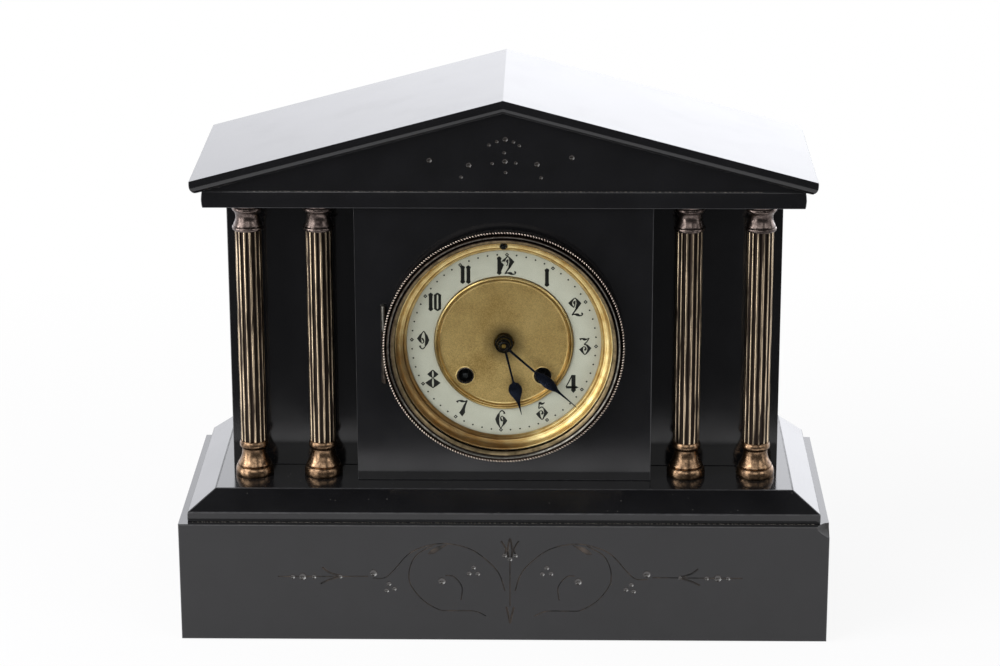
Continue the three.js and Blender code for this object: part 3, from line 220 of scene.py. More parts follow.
def ease(piece, width, segments, smooth, on_show=None):
    """Breaks the sharp edges, or only those whose middle on_show accepts, in millimetres."""
    only(piece)
    bevel = piece.modifiers.new("ease", "BEVEL")
    bevel.width = width * MM
    bevel.segments = segments
    bevel.limit_method = "ANGLE"
    bevel.angle_limit = math.radians(28)
    if on_show:
        bevel.limit_method = "WEIGHT"
        weights = piece.data.attributes.new("bevel_weight_edge", "FLOAT", "EDGE")
        for edge, weight in zip(piece.data.edges, weights.data):
            a, b = (piece.data.vertices[v].co for v in edge.vertices)
            weight.value = 1.0 if on_show(*((a + b) / 2 / MM)) else 0.0
    bevel.material = len(piece.data.materials) - 1
    bpy.ops.object.modifier_apply(modifier=bevel.name)
    bpy.ops.object.shade_smooth_by_angle(angle=math.radians(smooth))


def keep_flat(piece):
    """Sharpens the border between finishes, so that a broad face mirrors as a flat one up to its edge."""
    meet = {}
    for face in piece.data.polygons:
        for key in face.edge_keys:
            meet.setdefault(key, set()).add(face.material_index)
    for edge in piece.data.edges:
        if len(meet[edge.key]) > 1:
            edge.use_edge_sharp = True


print("slab helpers ready")

# %% Ease every slab of the case
SLABS = {
    "plinth_front": 0.6, "plinth_back": 0.6, "plinth_left": 0.4, "plinth_right": 0.4, "step_slab": 0.6,
    "front_wall": 0.4, "dial_panel": 0.5, "side_wall_left": 0.3, "side_wall_right": 0.3, "back_panel": 0.4,
    "entablature": 0.4, "tympanum": 0.3, "rear_gable": 0.3, "roof_left": 0.4, "roof_right": 0.4,
}
FLAT = 20  # degrees of turn below which an edge is shaded smooth
# The plinth is glued up at its corners and the roof at its ridge, so only edges beyond these are eased
PLINTH_DEEP, PLINTH_WIDE, ROOF_WIDE, ROOF_DEEP, RIDGE = 83.4, 204.9, 191, 81, 1
ON_SHOW = {
    "plinth_front": lambda x, y, z: y < -PLINTH_DEEP,
    "plinth_back": lambda x, y, z: y > PLINTH_DEEP,
    "plinth_left": lambda x, y, z: x < -PLINTH_WIDE,
    "plinth_right": lambda x, y, z: x > PLINTH_WIDE,
    "roof_left": lambda x, y, z: x < -ROOF_WIDE or (x < -RIDGE and y > ROOF_DEEP),
    "roof_right": lambda x, y, z: x > ROOF_WIDE or (x > RIDGE and y > ROOF_DEEP),
}
slabs = {}
for node, width in SLABS.items():
    slab = copy_of(node, node + "_slab")
    paint(slab, black_stone, stone_edge_wear_and_painted_highlight)
    ease(slab, width, 2, FLAT, ON_SHOW.get(node))
    slabs[node] = slab
print("eased", len(slabs), "slabs")

# %% [markdown]
# ## Incised ornament
# The plinth and the tympanum carry a traditional ornament of scrolls and drilled dots, cut by hand after the
# polish. Grooves and dimples are cut from the slabs with the Boolean modifier: tubes for the lines, small
# spheres for the dots. Each cutter brings its own material: an engraved line shows dull dark stone with pale
# patches that are painted highlights, a drilled dot is smooth and shines at its bottom, and a broken edge is
# rough.

# %% Finishes of the cuts
# The pale patches in the cut lines are painted highlights; the dark tone is the dull stone.
incised = mottled(
    "dull_incised_stone", ("#0d0b0a", "#4a4038"), 14, 6, 0.7, (0.42, 0.66), Roughness=0.75
)
DRILLED = {"drilled_stone": (0.27, 1.8), "dim_drilled_stone": (0.17, 1.5)}
drills = {
    name: mottled(name, ("#181512", "#2f2a26"), 0.8, 4, Roughness=gloss, IOR=index)
    for name, (gloss, index) in DRILLED.items()
}
broken = mottled(
    "broken_stone", ("#19191a", "#4a4948"), 0.9, 5, relief=(0.6, 0.3, 0.9, 5), Roughness=0.6
)
print("made", incised.name, *drills, "and", broken.name)

# %% Helpers that draw lines


def smooth_path(points, steps=6):
    """Points along a smooth line through the given ones, of any number of values each."""
    ends = [points[0], *points, points[-1]]
    path = []
    for a, b, c, d in zip(ends, ends[1:], ends[2:], ends[3:]):
        for step in range(steps):
            t = step / steps
            path.append(tuple(
                0.5 * (2 * q + (r - p) * t + (2 * p - 5 * q + 4 * r - s) * t ** 2
                       + (3 * q - p - 3 * r + s) * t ** 3)
                for p, q, r, s in zip(a, b, c, d)
            ))
    return path + [tuple(points[-1])]


def tubes(name, lines, radius, y):
    """Closed round tubes along lines of (x, z) on an upright plane."""
    curve = bpy.data.curves.new(name, "CURVE")
    curve.dimensions = "3D"
    curve.bevel_depth = radius * MM
    curve.bevel_resolution = 1
    curve.use_fill_caps = True
    for line in lines:
        path = smooth_path(line)
        spline = curve.splines.new("POLY")
        spline.points.add(len(path) - 1)
        for point, (x, z) in zip(spline.points, path):
            point.co = (x * MM, y * MM, z * MM, 1)
    piece = bpy.data.objects.new(name, curve)
    bpy.context.collection.objects.link(piece)
    only(piece)
    bpy.ops.object.convert(target="MESH")
    return bpy.context.object


print("drawing helpers ready")

# %% Helpers that draw dots and cut


def joined(name, pieces):
    bpy.ops.object.select_all(action="DESELECT")
    for piece in pieces:
        piece.select_set(True)
    bpy.context.view_layer.objects.active = pieces[0]
    if len(pieces) > 1:
        bpy.ops.object.join()
    pieces[0].name = name
    bpy.ops.object.transform_apply()
    return pieces[0]


def balls(name, places, radius, y):
    made = []
    for x, z in places:
        bpy.ops.mesh.primitive_ico_sphere_add(
            subdivisions=3, radius=radius * MM, location=(x * MM, y * MM, z * MM)
        )
        made.append(bpy.context.object)
    return joined(name, made)


def carve(piece, cutter, material, crossing=False):
    """Cuts the cutter out of the piece; crossing says that parts of the cutter run through each other."""
    paint(cutter, material)
    only(piece)
    cut = piece.modifiers.new("carve", "BOOLEAN")
    cut.operation = "DIFFERENCE"
    cut.solver = "EXACT"
    cut.use_self = crossing
    cut.material_mode = "TRANSFER"
    cut.object = cutter
    bpy.ops.object.modifier_apply(modifier=cut.name)
    bpy.data.objects.remove(cutter)


print("carving helpers ready")

# %% Cut the plinth's scrolls and petals
ORNAMENT_MIDDLE = 4.2
PLINTH_FACE = -83.5
SCROLL_CUT, PETAL_CUT = 0.45, 0.7
half_lines = [
    [(-142.6, 43.1), (-114, 43.2), (-85.6, 43.4)],
    [(-82.5, 42.3), (-75.5, 42.3), (-69.7, 47.1), (-58.8, 59.4), (-44.3, 65.2), (-31.1, 65.3), (-18.5, 61),
     (-7.2, 51.5), (-2.1, 44.1), (1, 33.8)],
    [(-44.3, 64.4), (-53, 59.6), (-57.4, 54), (-59.6, 45.8), (-58.5, 37.6), (-51, 27.4), (-40.9, 20.9),
     (-33.3, 20.2), (-18.7, 20), (-11.1, 16.6)],
    [(-36.6, 44.2), (-31.2, 43.4), (-26.2, 36.4), (-26.9, 27.5)],
]
half_petals = [
    [(-114.5, 49.5), (-110, 46), (-103.3, 43.8)],
    [(-115.6, 38.2), (-110, 41), (-103.3, 43.0)],
]
centre_lines = [[(4.2, 53.6), (4.15, 23.6)]]
centre_petals = [
    [(0.8, 58.4), (1.6, 62.5), (-1.4, 67.8)],
    [(7.6, 58.4), (6.8, 62.5), (9.8, 67.8)],
    [(3.2, 57), (2.8, 62), (4.2, 69.2), (5.6, 62), (5.2, 57)],
    [(1.8, 23), (3.2, 17), (4.2, 11.9), (5.2, 17), (6.6, 23)],
]


def both_sides(points):
    return [points, [(2 * ORNAMENT_MIDDLE - x, z) for x, z in points]]


front = slabs["plinth_front"]
for name, half, centre, radius in (
    ("scroll_cutter", half_lines, centre_lines, SCROLL_CUT),
    ("petal_cutter", half_petals, centre_petals, PETAL_CUT),
):
    lines = [side for line in half for side in both_sides(line)] + centre
    carve(front, tubes(name, lines, radius, PLINTH_FACE), incised, True)
print("plinth front has", len(front.data.polygons), "faces")

# %% Drill the plinth's dots
big_dots = [(-127, 43.2), (-82.1, 45.8), (-38.8, 40.5)]
small_dots = [
    (-133.3, 43.1), (-119.8, 43.2), (-103.3, 43.4), (-72.4, 38.5), (-69, 35.2), (-73.9, 34),
    (-18.9, 49.8), (-21.7, 45.8), (-16.2, 45.6), (0.8, 58.1),
]
# Each ball has a radius and stands off the face, so that it bites only as deep as the difference
for name, half, centre, radius, off in (
    ("big_dot_cutter", big_dots, [], 3.2, 2.1),
    ("small_dot_cutter", small_dots, [(ORNAMENT_MIDDLE, 55.6)], 2.0, 1.25),
):
    dots = [dot for side in both_sides(half) for dot in side] + centre
    carve(front, balls(name, dots, radius, PLINTH_FACE - off), drills["drilled_stone"])
print("plinth front has", len(front.data.polygons), "faces")

# %% Cut the leaves of the scrolls
leaf = [(-47.8, 58.6), (-45.6, 61.6), (-41.5, 64), (-34.8, 65.3), (-40.5, 61.2), (-44, 58.8)]


def flat_shapes(name, outlines, thickness, y):
    """Filled outlines of (x, z) on an upright plane, with a small thickness to both sides."""
    curve = bpy.data.curves.new(name, "CURVE")
    curve.dimensions = "2D"
    curve.fill_mode = "BOTH"
    curve.extrude = thickness / 2 * MM
    for outline in outlines:
        spline = curve.splines.new("POLY")
        spline.points.add(len(outline) - 1)
        spline.use_cyclic_u = True
        for point, (x, z) in zip(spline.points, outline):
            point.co = (x * MM, z * MM, 0, 1)
    piece = bpy.data.objects.new(name, curve)
    bpy.context.collection.objects.link(piece)
    piece.location = (0, y * MM, 0)
    piece.rotation_euler = (math.pi / 2, 0, 0)
    only(piece)
    bpy.ops.object.convert(target="MESH")
    bpy.ops.object.transform_apply()
    piece = bpy.context.object
    bpy.ops.object.mode_set(mode="EDIT")
    bpy.ops.mesh.select_all(action="SELECT")
    bpy.ops.mesh.remove_doubles(threshold=0.001 * MM)
    bpy.ops.mesh.normals_make_consistent(inside=False)
    bpy.ops.object.mode_set(mode="OBJECT")
    # Where outlines overlap, a few faces of the sheet still look inwards.
    for face in piece.data.polygons:
        if face.normal.y * (face.center.y - y * MM) < -thickness / 4 * MM:
            face.flip()
    return piece


LEAF_CUT = 0.6
carve(front, flat_shapes("leaf_cutter", both_sides(leaf), LEAF_CUT, PLINTH_FACE), incised)
print("plinth front has", len(front.data.polygons), "faces")

# %% Cut the tympanum's dots
TYMPANUM_FACE = -52.5
gable = slabs["tympanum"]
large = [(1, 306.2), (1.2, 320.1), (-21.3, 303.8), (20.7, 304.4), (-45.6, 306.8), (42.1, 308.7)]
small = [
    (-8.8, 316.6), (-4, 318.7), (6.2, 318.5), (9.8, 316.2), (0.5, 311.7), (-6.9, 304.9), (7.6, 305.2),
    (1.3, 299.2), (-26.1, 296.2), (23.2, 295.9),
]
for name, dots, radius, off in (
    ("gable_dot_cutter", large, 2.3, 1.5), ("gable_small_cutter", small, 1.5, 0.95)
):
    carve(gable, balls(name, dots, radius, TYMPANUM_FACE - off), drills["dim_drilled_stone"])
print("tympanum has", len(gable.data.polygons), "faces")

# %% [markdown]
# ## Chips
# Stone of this age is never whole along its edges. A few small flakes are missing from the plinth's upper
# edge and corners. Roughened spheres, set half in the air, bite them out.

# %% Bite out the chips
CHIPS = {
    "plinth_front": [
        (207.5, -87.0, 81.5, 12.5), (-205.4, -84.2, 73.0, 1.5), (-205.3, -84.0, 56.0, 0.9),
        (-205.2, -84.0, 38.0, 0.8), (12.0, -84.1, 78.4, 1.2), (-48.0, -84.0, 78.3, 0.9),
        (205.3, -84.0, 45.0, 0.9), (205.2, -84.1, 1.0, 1.4),
    ],
    "step_slab": [(199.7, -78.3, 84.8, 1.6), (-199.8, -78.4, 84.2, 1.2)],
}
ROUGHNESS_SHARE = 0.1  # of the flake's size
flakes = [(node, chip) for node, chips in CHIPS.items() for chip in chips]
for seed, (node, (x, y, z, size)) in enumerate(flakes):
    bpy.ops.mesh.primitive_ico_sphere_add(
        subdivisions=2, radius=size * MM, location=(x * MM, y * MM, z * MM)
    )
    flake = bpy.context.object
    bpy.ops.object.mode_set(mode="EDIT")
    bpy.ops.transform.vertex_random(offset=size * ROUGHNESS_SHARE * MM, seed=seed)
    bpy.ops.object.mode_set(mode="OBJECT")
    bpy.ops.object.transform_apply()
    carve(slabs[node], flake, broken)
for node, slab in slabs.items():
    only(slab)
    bpy.ops.object.shade_smooth_by_angle(angle=math.radians(FLAT))
    keep_flat(slab)
    settle(slab, "case", "black_stone", node)
print("bit out", len(flakes), "chips")

# %% [markdown]
# ## Dust in the joints
# Pale mortar and dust sit in the two long joints that face the viewer: under the tympanum and on the ledge
# of the plinth. One small fleck is made, and its copies are strewn along each joint by a fixed wave, so that
# they look random but come out alike on every run.

# %% Strew the flecks
pale_dust = mottled("pale_joint_dust", ("#4c4843", "#a39c92"), 2, 2, Roughness=0.9)
WAVE_STEP, WAVE_HEIGHT = 12.9898, 43758.5453  # a wave so steep that its fractions look random


def strew(name, count, x_from, x_to, y, z, size):
    bpy.ops.object.select_all(action="DESELECT")
    bpy.ops.mesh.primitive_ico_sphere_add(subdivisions=1, radius=MM)
    first = bpy.context.object
    made = []
    for i in range(count):
        wander = math.sin(i * WAVE_STEP) * WAVE_HEIGHT
        part = wander - math.floor(wander)
        only(first)
        bpy.ops.object.duplicate()
        fleck = bpy.context.object
        fleck.location = Vector((x_from + (x_to - x_from) * (i + part) / count, y + 0.3 * part, z)) * MM
        fleck.scale = (size * (0.5 + part), size * 0.5, size * (0.25 + 0.4 * (1 - part)))
        made.append(fleck)
    bpy.data.objects.remove(first)
    piece = joined(name, made)
    paint(piece, pale_dust)
    settle(piece, "case", "black_stone")
    return piece


gable_dust = strew("gable_joint_dust", 150, -158, 160, -53.3, 287.05, 0.5)
ledge_dust = strew("plinth_ledge_dust", 230, -196, 196, -79.2, 78.05, 0.4)
print("strewn", len(gable_dust.data.polygons) + len(ledge_dust.data.polygons), "faces of dust")

# %% [markdown]
# ## Metals
# Every metal here starts from a plain alloy: gilt and patinated bronze on the columns, lacquered brass on
# the dial, worn plate on the bezel, clean brass and steel in the movement. Age shows alike on each: a darker
# tone in cloudy patches and a polish that comes and goes. A short table gives the dark and the light tone of
# each, the size of its patches, and its roughness where it is bright and where it is dull.

# %% Clouded metals
METALS = {
    "gilt_bronze": ("#2a1f19", "#a38568", 4.0, 0.2, 0.36),
    "patinated_bronze": ("#2d2625", "#7b6e68", 4.0, 0.2, 0.36),
    "dark_bezel_bronze": ("#1d1613", "#3d332b", 3.0, 0.22, 0.36),
    "worn_silver_ring": ("#403e3a", "#7b7871", 3.0, 0.24, 0.4),
    "pale_bezel_lip": ("#4a402d", "#83745a", 6.0, 0.36, 0.48),
    "worn_rope_edge": ("#c7b3a4", "#fff0e2", 2.0, 0.24, 0.36),
    "rim_brass": ("#a0834f", "#e0c48d", 24.0, 0.26, 0.36),
    "dark_boss_bronze": ("#141312", "#2b2927", 2.0, 0.26, 0.4),
    "blued_steel": ("#12141c", "#2a2e40", 5.0, 0.26, 0.4),
    # This darkened steel is for the arbors seen down the dial's holes: its darkness is painted shade.
    "dark_steel": ("#232324", "#55565a", 3.0, 0.24, 0.4),
    "movement_brass": ("#8a6c36", "#cfab5e", 7.0, 0.24, 0.4),
    "movement_steel": ("#55565a", "#a3a6ab", 4.0, 0.2, 0.36),
    "bell_metal": ("#80683c", "#c7ab6c", 9.0, 0.14, 0.28),
    "tarnished_door_brass": ("#68522f", "#a1834e", 11.0, 0.26, 0.46),
}
CLOUD_SPREAD = (0.32, 0.66)
METAL_GRAIN = (0.12, 0.05, 0.5, 3)  # strength, depth, grain and detail of the fine relief
metals = {
    name: mottled(
        name, (dark, light), size, 8, 0.65, CLOUD_SPREAD, (dull, fine), METAL_GRAIN, Metallic=1.0
    )
    for name, (dark, light, size, fine, dull) in METALS.items()
}
print("made", len(metals), "metals")

# %% [markdown]
# ## Columns
# Each column is three castings: a turned base in gilt bronze, a fluted tube and a turned capital whose
# gilding has gone dark. A turning starts from one vertex, which is extruded along the profile and spun about
# the axis. The first column is made in place and the other three are copies of it.

# %% A turning helper
SMOOTH = 35  # degrees of turn below which turned metal is shaded smooth


def turned(name, profile, centre, axis, steps, smooth=SMOOTH):
    """A profile of (radius, distance along the axis) spun about an axis through centre."""
    hub = Vector(centre) * MM
    along = Vector(axis)
    points = [hub + Vector((radius, 0, 0)) * MM + along * far * MM for radius, far in profile]
    bpy.ops.object.select_all(action="DESELECT")
    bpy.ops.mesh.primitive_plane_add(size=MM)
    piece = bpy.context.object
    piece.name = name
    bpy.ops.object.mode_set(mode="EDIT")
    bpy.ops.mesh.merge(type="CENTER")
    bpy.ops.transform.translate(value=points[0])
    for a, b in zip(points, points[1:]):
        bpy.ops.mesh.extrude_vertices_move(TRANSFORM_OT_translate={"value": b - a})
    bpy.ops.mesh.select_all(action="SELECT")
    bpy.ops.mesh.spin(steps=steps, angle=2 * math.pi, center=hub, axis=along)
    bpy.ops.mesh.select_all(action="SELECT")
    bpy.ops.mesh.remove_doubles(threshold=0.002 * MM)
    bpy.ops.mesh.normals_make_consistent(inside=False)
    bpy.ops.object.mode_set(mode="OBJECT")
    bpy.ops.object.shade_smooth_by_angle(angle=math.radians(smooth))
    return piece


def middle_of(node):
    """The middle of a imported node's box, in millimetres."""
    return [(a + b) / 2 / MM for a, b in zip(*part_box(node))]


print("turning helper ready")

# %% Turn the base and the capital of the first column
COLUMN_STEPS = 64
UPRIGHT = (0, 0, 1)
column_x, column_y, _ = middle_of("column_1_base")
base_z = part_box("column_1_base")[0].z / MM
capital_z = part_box("column_1_capital")[0].z / MM
base_curve = [
    (0, 0), (11.9, 0), (12.2, 0.5), (12.25, 2.2), (12.0, 4.2), (11.4, 5.8), (10.8, 6.3), (10.4, 6.35),
    (10.45, 6.7), (10.7, 7.2), (10.5, 7.9), (9.6, 9.3), (8.6, 11.4), (7.9, 13.8), (7.65, 16.2), (7.75, 17.5),
    (8.2, 18.0), (8.9, 18.6), (9.22, 19.8), (9.15, 21.2), (8.8, 22.2), (8.6, 22.5), (8.6, 23.0), (0, 23.0),
]
capital_curve = [
    (0, 0), (9.2, 0), (9.6, 0.3), (9.95, 1.1), (9.9, 2.0), (9.5, 2.55), (9.1, 2.7), (9.15, 3.1), (8.9, 4.0),
    (8.2, 5.6), (7.8, 7.2), (7.7, 8.4), (7.85, 9.8), (8.3, 11.2), (9.0, 12.3), (9.6, 12.9), (9.95, 13.6),
    (9.9, 14.6), (9.5, 15.2), (9.3, 15.5), (9.6, 16.2), (9.8, 17.0), (9.8, 19.2), (0, 19.2),
]
base, capital = (
    turned(name, [(r, foot + z) for r, z in curve], (column_x, column_y, 0), UPRIGHT, COLUMN_STEPS)
    for name, curve, foot in (
        ("column_1_base_turned", base_curve, base_z), ("column_1_capital_turned", capital_curve, capital_z)
    )
)
paint(base, metals["gilt_bronze"])
paint(capital, metals["patinated_bronze"])
print("column at", round(column_x, 1), round(column_y, 1))

# %% [markdown]
# The shaft is a drawn tube with fourteen flutes between narrow flat ridges. A circle with ten vertices to a
# flute is drawn in at the flutes and pulled upwards. An attribute keeps how far out each point stands,
# because hands and dusters have worn the ridges bright and left the flutes dark.

# %% Flute the shaft of the first column
FLUTES, PER_FLUTE, SHAFT_RADIUS, FLUTE_DEPTH, FLUTE_SMOOTH = 14, 10, 8.3, 0.85, 40
FLUTE_SHARES = [1.0, 0.95, 0.76, 0.42, 0.05, 0.0, 0.05, 0.42, 0.76, 0.95]
low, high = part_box("column_1_shaft")
bpy.ops.object.select_all(action="DESELECT")
bpy.ops.mesh.primitive_circle_add(
    vertices=FLUTES * PER_FLUTE, radius=SHAFT_RADIUS * MM, location=(column_x * MM, column_y * MM, low.z)
)
shaft = bpy.context.object
shaft.name = "column_1_shaft_fluted"
for place, share in enumerate(FLUTE_SHARES):
    bpy.ops.object.mode_set(mode="EDIT")
    bpy.ops.mesh.select_all(action="DESELECT")
    bpy.ops.object.mode_set(mode="OBJECT")
    for vertex in shaft.data.vertices:
        vertex.select = vertex.index % PER_FLUTE == place
    bpy.ops.object.mode_set(mode="EDIT")
    scale = 1 - share * FLUTE_DEPTH / SHAFT_RADIUS
    bpy.ops.transform.resize(value=(scale, scale, 1), center_override=shaft.location)
bpy.ops.mesh.select_all(action="SELECT")
bpy.ops.mesh.extrude_region_move(TRANSFORM_OT_translate={"value": (0, 0, high.z - low.z)})
bpy.ops.mesh.select_all(action="SELECT")
bpy.ops.mesh.normals_make_consistent(inside=False)
bpy.ops.object.mode_set(mode="OBJECT")
bpy.ops.object.transform_apply()
bpy.ops.object.shade_smooth_by_angle(angle=math.radians(FLUTE_SMOOTH))
worn = shaft.data.attributes.new("worn", "FLOAT", "POINT")
for vertex, value in zip(shaft.data.vertices, worn.data):
    out = math.hypot(vertex.co.x / MM - column_x, vertex.co.y / MM - column_y)
    value.value = (out - SHAFT_RADIUS + FLUTE_DEPTH) / FLUTE_DEPTH
print("shaft has", len(shaft.data.polygons), "faces")

# %% Bronze that is worn bright on the ridges
shaft_bronze, tree, shader, where = new_finish("ridge_worn_bronze", {"Metallic": 1.0})
ridge = add(tree, "Attribute", attribute_name="worn")
streak_place = add(tree, "Mapping", {"Scale": (1.0, 1.0, 0.06)}, {"Vector": where})
streak = add(tree, "TexNoise", {"Scale": per_mm(1.6), "Detail": 5.0}, {"Vector": streak_place})
mixed = add(tree, "Math", {}, {0: ridge.outputs["Fac"], 1: streak}, operation="MULTIPLY")
bright = add(tree, "MapRange", {1: 0.3, 2: 0.52}, {0: mixed})
tone = add(tree, "Mix", {6: linear("#2b2420"), 7: linear("#ecd5b4")}, {0: bright}, data_type="RGBA")
gloss = add(tree, "MapRange", {3: 0.34, 4: 0.24}, {0: bright})
connect(tree, shader, {"Base Color": tone.outputs[2], "Roughness": gloss})
paint(shaft, shaft_bronze)
print("made", shaft_bronze.name)

# %% Copy the column three times
first_parts = {
    "base": (base, "column_gilt"), "shaft": (shaft, "column_bronze"), "capital": (capital, "column_bronze"),
}
for number in (2, 3, 4):
    step = Vector(((middle_of(f"column_{number}_base")[0] - column_x) * MM, 0, 0))
    for part, (first, slot) in first_parts.items():
        only(first)
        bpy.ops.object.duplicate()
        copy = bpy.context.object
        copy.name = first.name.replace("column_1", f"column_{number}")
        bpy.ops.transform.translate(value=step)
        bpy.ops.object.transform_apply()
        settle(copy, "case", slot, f"column_{number}_{part}")
for part, (first, slot) in first_parts.items():
    settle(first, "case", slot, f"column_1_{part}")
print("four columns stand")

# %% [markdown]
# ## Bezel and glass
# The bezel is a turned ring with a rope-milled edge, hinged at the left, which holds a bevelled glass. The
# ring is spun from its profile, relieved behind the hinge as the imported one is, and given its knuckle. The
# rope is one slanted bead repeated round the edge by an Array modifier on a turned empty.

# %% Turn the bezel ring
DIAL_Z = middle_of("bezel_glass")[2]
dial_centre = (0, 0, DIAL_Z)
DIAL_AXIS = (0, 1, 0)
bezel_curve = [
    (74.6, -47.0), (75.2, -47.6), (75.7, -49.4), (75.8, -54.0), (75.9, -55.2), (75.4, -56.0), (74.6, -55.6),
    (73.9, -55.3), (73.5, -55.9), (73.5, -56.8), (73.3, -57.25), (72.9, -57.45), (72.4, -57.25),
    (71.9, -56.7), (71.5, -56.5), (71.3, -56.9), (71.0, -57.45), (70.6, -57.6), (69.9, -57.35),
    (69.1, -56.85), (68.6, -56.45), (68.6, -56.3), (70.5, -56.3), (70.5, -53.5), (69.2, -53.5),
    (69.2, -52.5), (70.5, -47.0), (74.6, -47.0),
]
bezel = turned("bezel_ring", bezel_curve, dial_centre, DIAL_AXIS, 160)
paint(bezel, metals["dark_bezel_bronze"], metals["worn_silver_ring"], metals["pale_bezel_lip"])
BAND_FRONT, BAND_OUT, SILVER_IN, SILVER_OUT, LIP_OUT = -56.2, 73.6, 71.9, 72.9, 70.6
for face in bezel.data.polygons:
    out = math.hypot(face.center.x, face.center.z - DIAL_Z * MM) / MM
    if face.center.y < BAND_FRONT * MM and out < BAND_OUT:
        face.material_index = 1 if SILVER_IN < out < SILVER_OUT else 2 if out < LIP_OUT else 0
print("bezel has", len(bezel.data.polygons), "faces")

# %% Bars and blocks


def bar(name, radius, start, end):
    """A round bar between two points, in millimetres."""
    a, b = Vector(start) * MM, Vector(end) * MM
    bpy.ops.mesh.primitive_cylinder_add(
        vertices=24, radius=radius * MM, depth=(b - a).length, location=(a + b) / 2,
        rotation=(b - a).to_track_quat("Z", "Y").to_euler(),
    )
    piece = bpy.context.object
    piece.name = name
    bpy.ops.object.transform_apply()
    return piece


def block(name, low, high):
    middle = [(a + b) / 2 * MM for a, b in zip(low, high)]
    size = [(b - a) * MM for a, b in zip(low, high)]
    bpy.ops.mesh.primitive_cube_add(size=1, location=middle, scale=size)
    piece = bpy.context.object
    piece.name = name
    bpy.ops.object.transform_apply()
    return piece


print("bars and blocks ready")

# %% Relieve the ring for its hinge and add the knuckle
HINGE_X, HINGE_Y, KNUCKLE, KNUCKLE_HALF, WEB_HALF, WEB_FRONT = -75.2, -48.5, 1.5, 8.3, 0.6, -51.0
RELIEF_LOW, RELIEF_HIGH = (-78, -50.3, DIAL_Z - 25.8), (-73.4, -45, DIAL_Z + 25.8)
knuckle_low, knuckle_high = DIAL_Z - KNUCKLE_HALF, DIAL_Z + KNUCKLE_HALF
carve(bezel, block("hinge_relief", RELIEF_LOW, RELIEF_HIGH), metals["dark_bezel_bronze"])
knuckle = bar("knuckle", KNUCKLE, (HINGE_X, HINGE_Y, knuckle_low), (HINGE_X, HINGE_Y, knuckle_high))
web = block(
    "web", (HINGE_X - WEB_HALF, WEB_FRONT, knuckle_low), (HINGE_X + WEB_HALF, HINGE_Y, knuckle_high)
)
paint(knuckle, metals["dark_bezel_bronze"])
paint(web, metals["dark_bezel_bronze"])
bezel = joined("bezel_ring", [bezel, knuckle, web])
bpy.ops.object.shade_smooth_by_angle(angle=math.radians(SMOOTH))
settle(bezel, "bezel_door", "gilt", "bezel")
print("bezel has", len(bezel.data.polygons), "faces")

# %% Mill the rope round its edge
ROPE_BEADS, ROPE_RADIUS, ROPE_Y, ROPE_SLANT = 262, 75.22, -56.2, 35
BEAD = (0.95, 0.5, 0.42)
bpy.ops.mesh.primitive_uv_sphere_add(
    segments=6, ring_count=4, radius=1, location=(0, ROPE_Y * MM, DIAL_Z * MM)
)
rope = bpy.context.object
rope.name = "bezel_rope"
bpy.ops.object.mode_set(mode="EDIT")
bpy.ops.transform.resize(value=[size * MM for size in BEAD], center_override=rope.location)
bpy.ops.transform.rotate(value=math.radians(ROPE_SLANT), orient_axis="Y", center_override=rope.location)
bpy.ops.transform.translate(value=(ROPE_RADIUS * MM, 0, 0))
bpy.ops.object.mode_set(mode="OBJECT")
bpy.ops.object.empty_add(location=rope.location, rotation=(0, 2 * math.pi / ROPE_BEADS, 0))
turn = bpy.context.object
only(rope)
ring = rope.modifiers.new("round", "ARRAY")
ring.use_relative_offset = False
ring.use_object_offset = True
ring.offset_object = turn
ring.count = ROPE_BEADS
bpy.ops.object.modifier_apply(modifier=ring.name)
bpy.data.objects.remove(turn)
bpy.ops.object.transform_apply()
bpy.ops.object.shade_smooth()
paint(rope, metals["worn_rope_edge"])
settle(rope, "bezel_door", "gilt")
print("rope has", len(rope.data.polygons), "faces")

# %% [markdown]
# The pane is clear window glass with a ground bevel round its edge. Behind a thin flat pane nothing looks
# bent, so the finish lets sight straight through and adds a mirror that grows towards grazing views by the
# fifth power, a common shortcut. It is the same from both faces, where a Fresnel node would turn the far
# face into a full mirror.

# %% Glass
WHITE = linear("#ffffff")
glass = bpy.data.materials.new("clear_pane")
glass.use_nodes = True
tree = glass.node_tree
tree.nodes.clear()
clear = add(tree, "BsdfTransparent", {"Color": linear("#fbfdfb")})
mirror = add(tree, "BsdfGlossy", {"Color": WHITE, "Roughness": 0.02})
slant = add(tree, "LayerWeight", {"Blend": 0.5})
steep = add(tree, "Math", {1: 5.0}, {0: slant.outputs["Facing"]}, operation="POWER")
angle = add(tree, "MapRange", {3: 0.006, 4: 1.0}, {0: steep})
mix = add(tree, "MixShader", {}, {0: angle, 1: clear, 2: mirror})
add(tree, "OutputMaterial", {}, {"Surface": mix})
PANE_SMOOTH = 12
pane_curve = [(0, -53.8), (70.2, -53.8), (70.2, -55.0), (69.4, -55.4), (67.2, -56.0), (0, -56.0)]
pane = turned("bezel_pane", pane_curve, dial_centre, DIAL_AXIS, 128, PANE_SMOOTH)
paint(pane, glass)
settle(pane, "bezel_door", "glass", "bezel_glass")
print("pane has", len(pane.data.polygons), "faces")

# %% Hinge leaf and pin
LEAF_EASE, LEAF_TIPS = 0.12, 17
leaf_piece = copy_of("bezel_hinge", "bezel_hinge_leaf")
paint(leaf_piece, metals["dark_bezel_bronze"], metals["worn_silver_ring"])
ease(leaf_piece, LEAF_EASE, 2, SMOOTH)
for face in leaf_piece.data.polygons:
    if abs(face.center.z / MM - DIAL_Z) > LEAF_TIPS:
        face.material_index = 1
settle(leaf_piece, "case", "gilt", "bezel_hinge")
print("hinge has", len(leaf_piece.data.polygons), "faces")
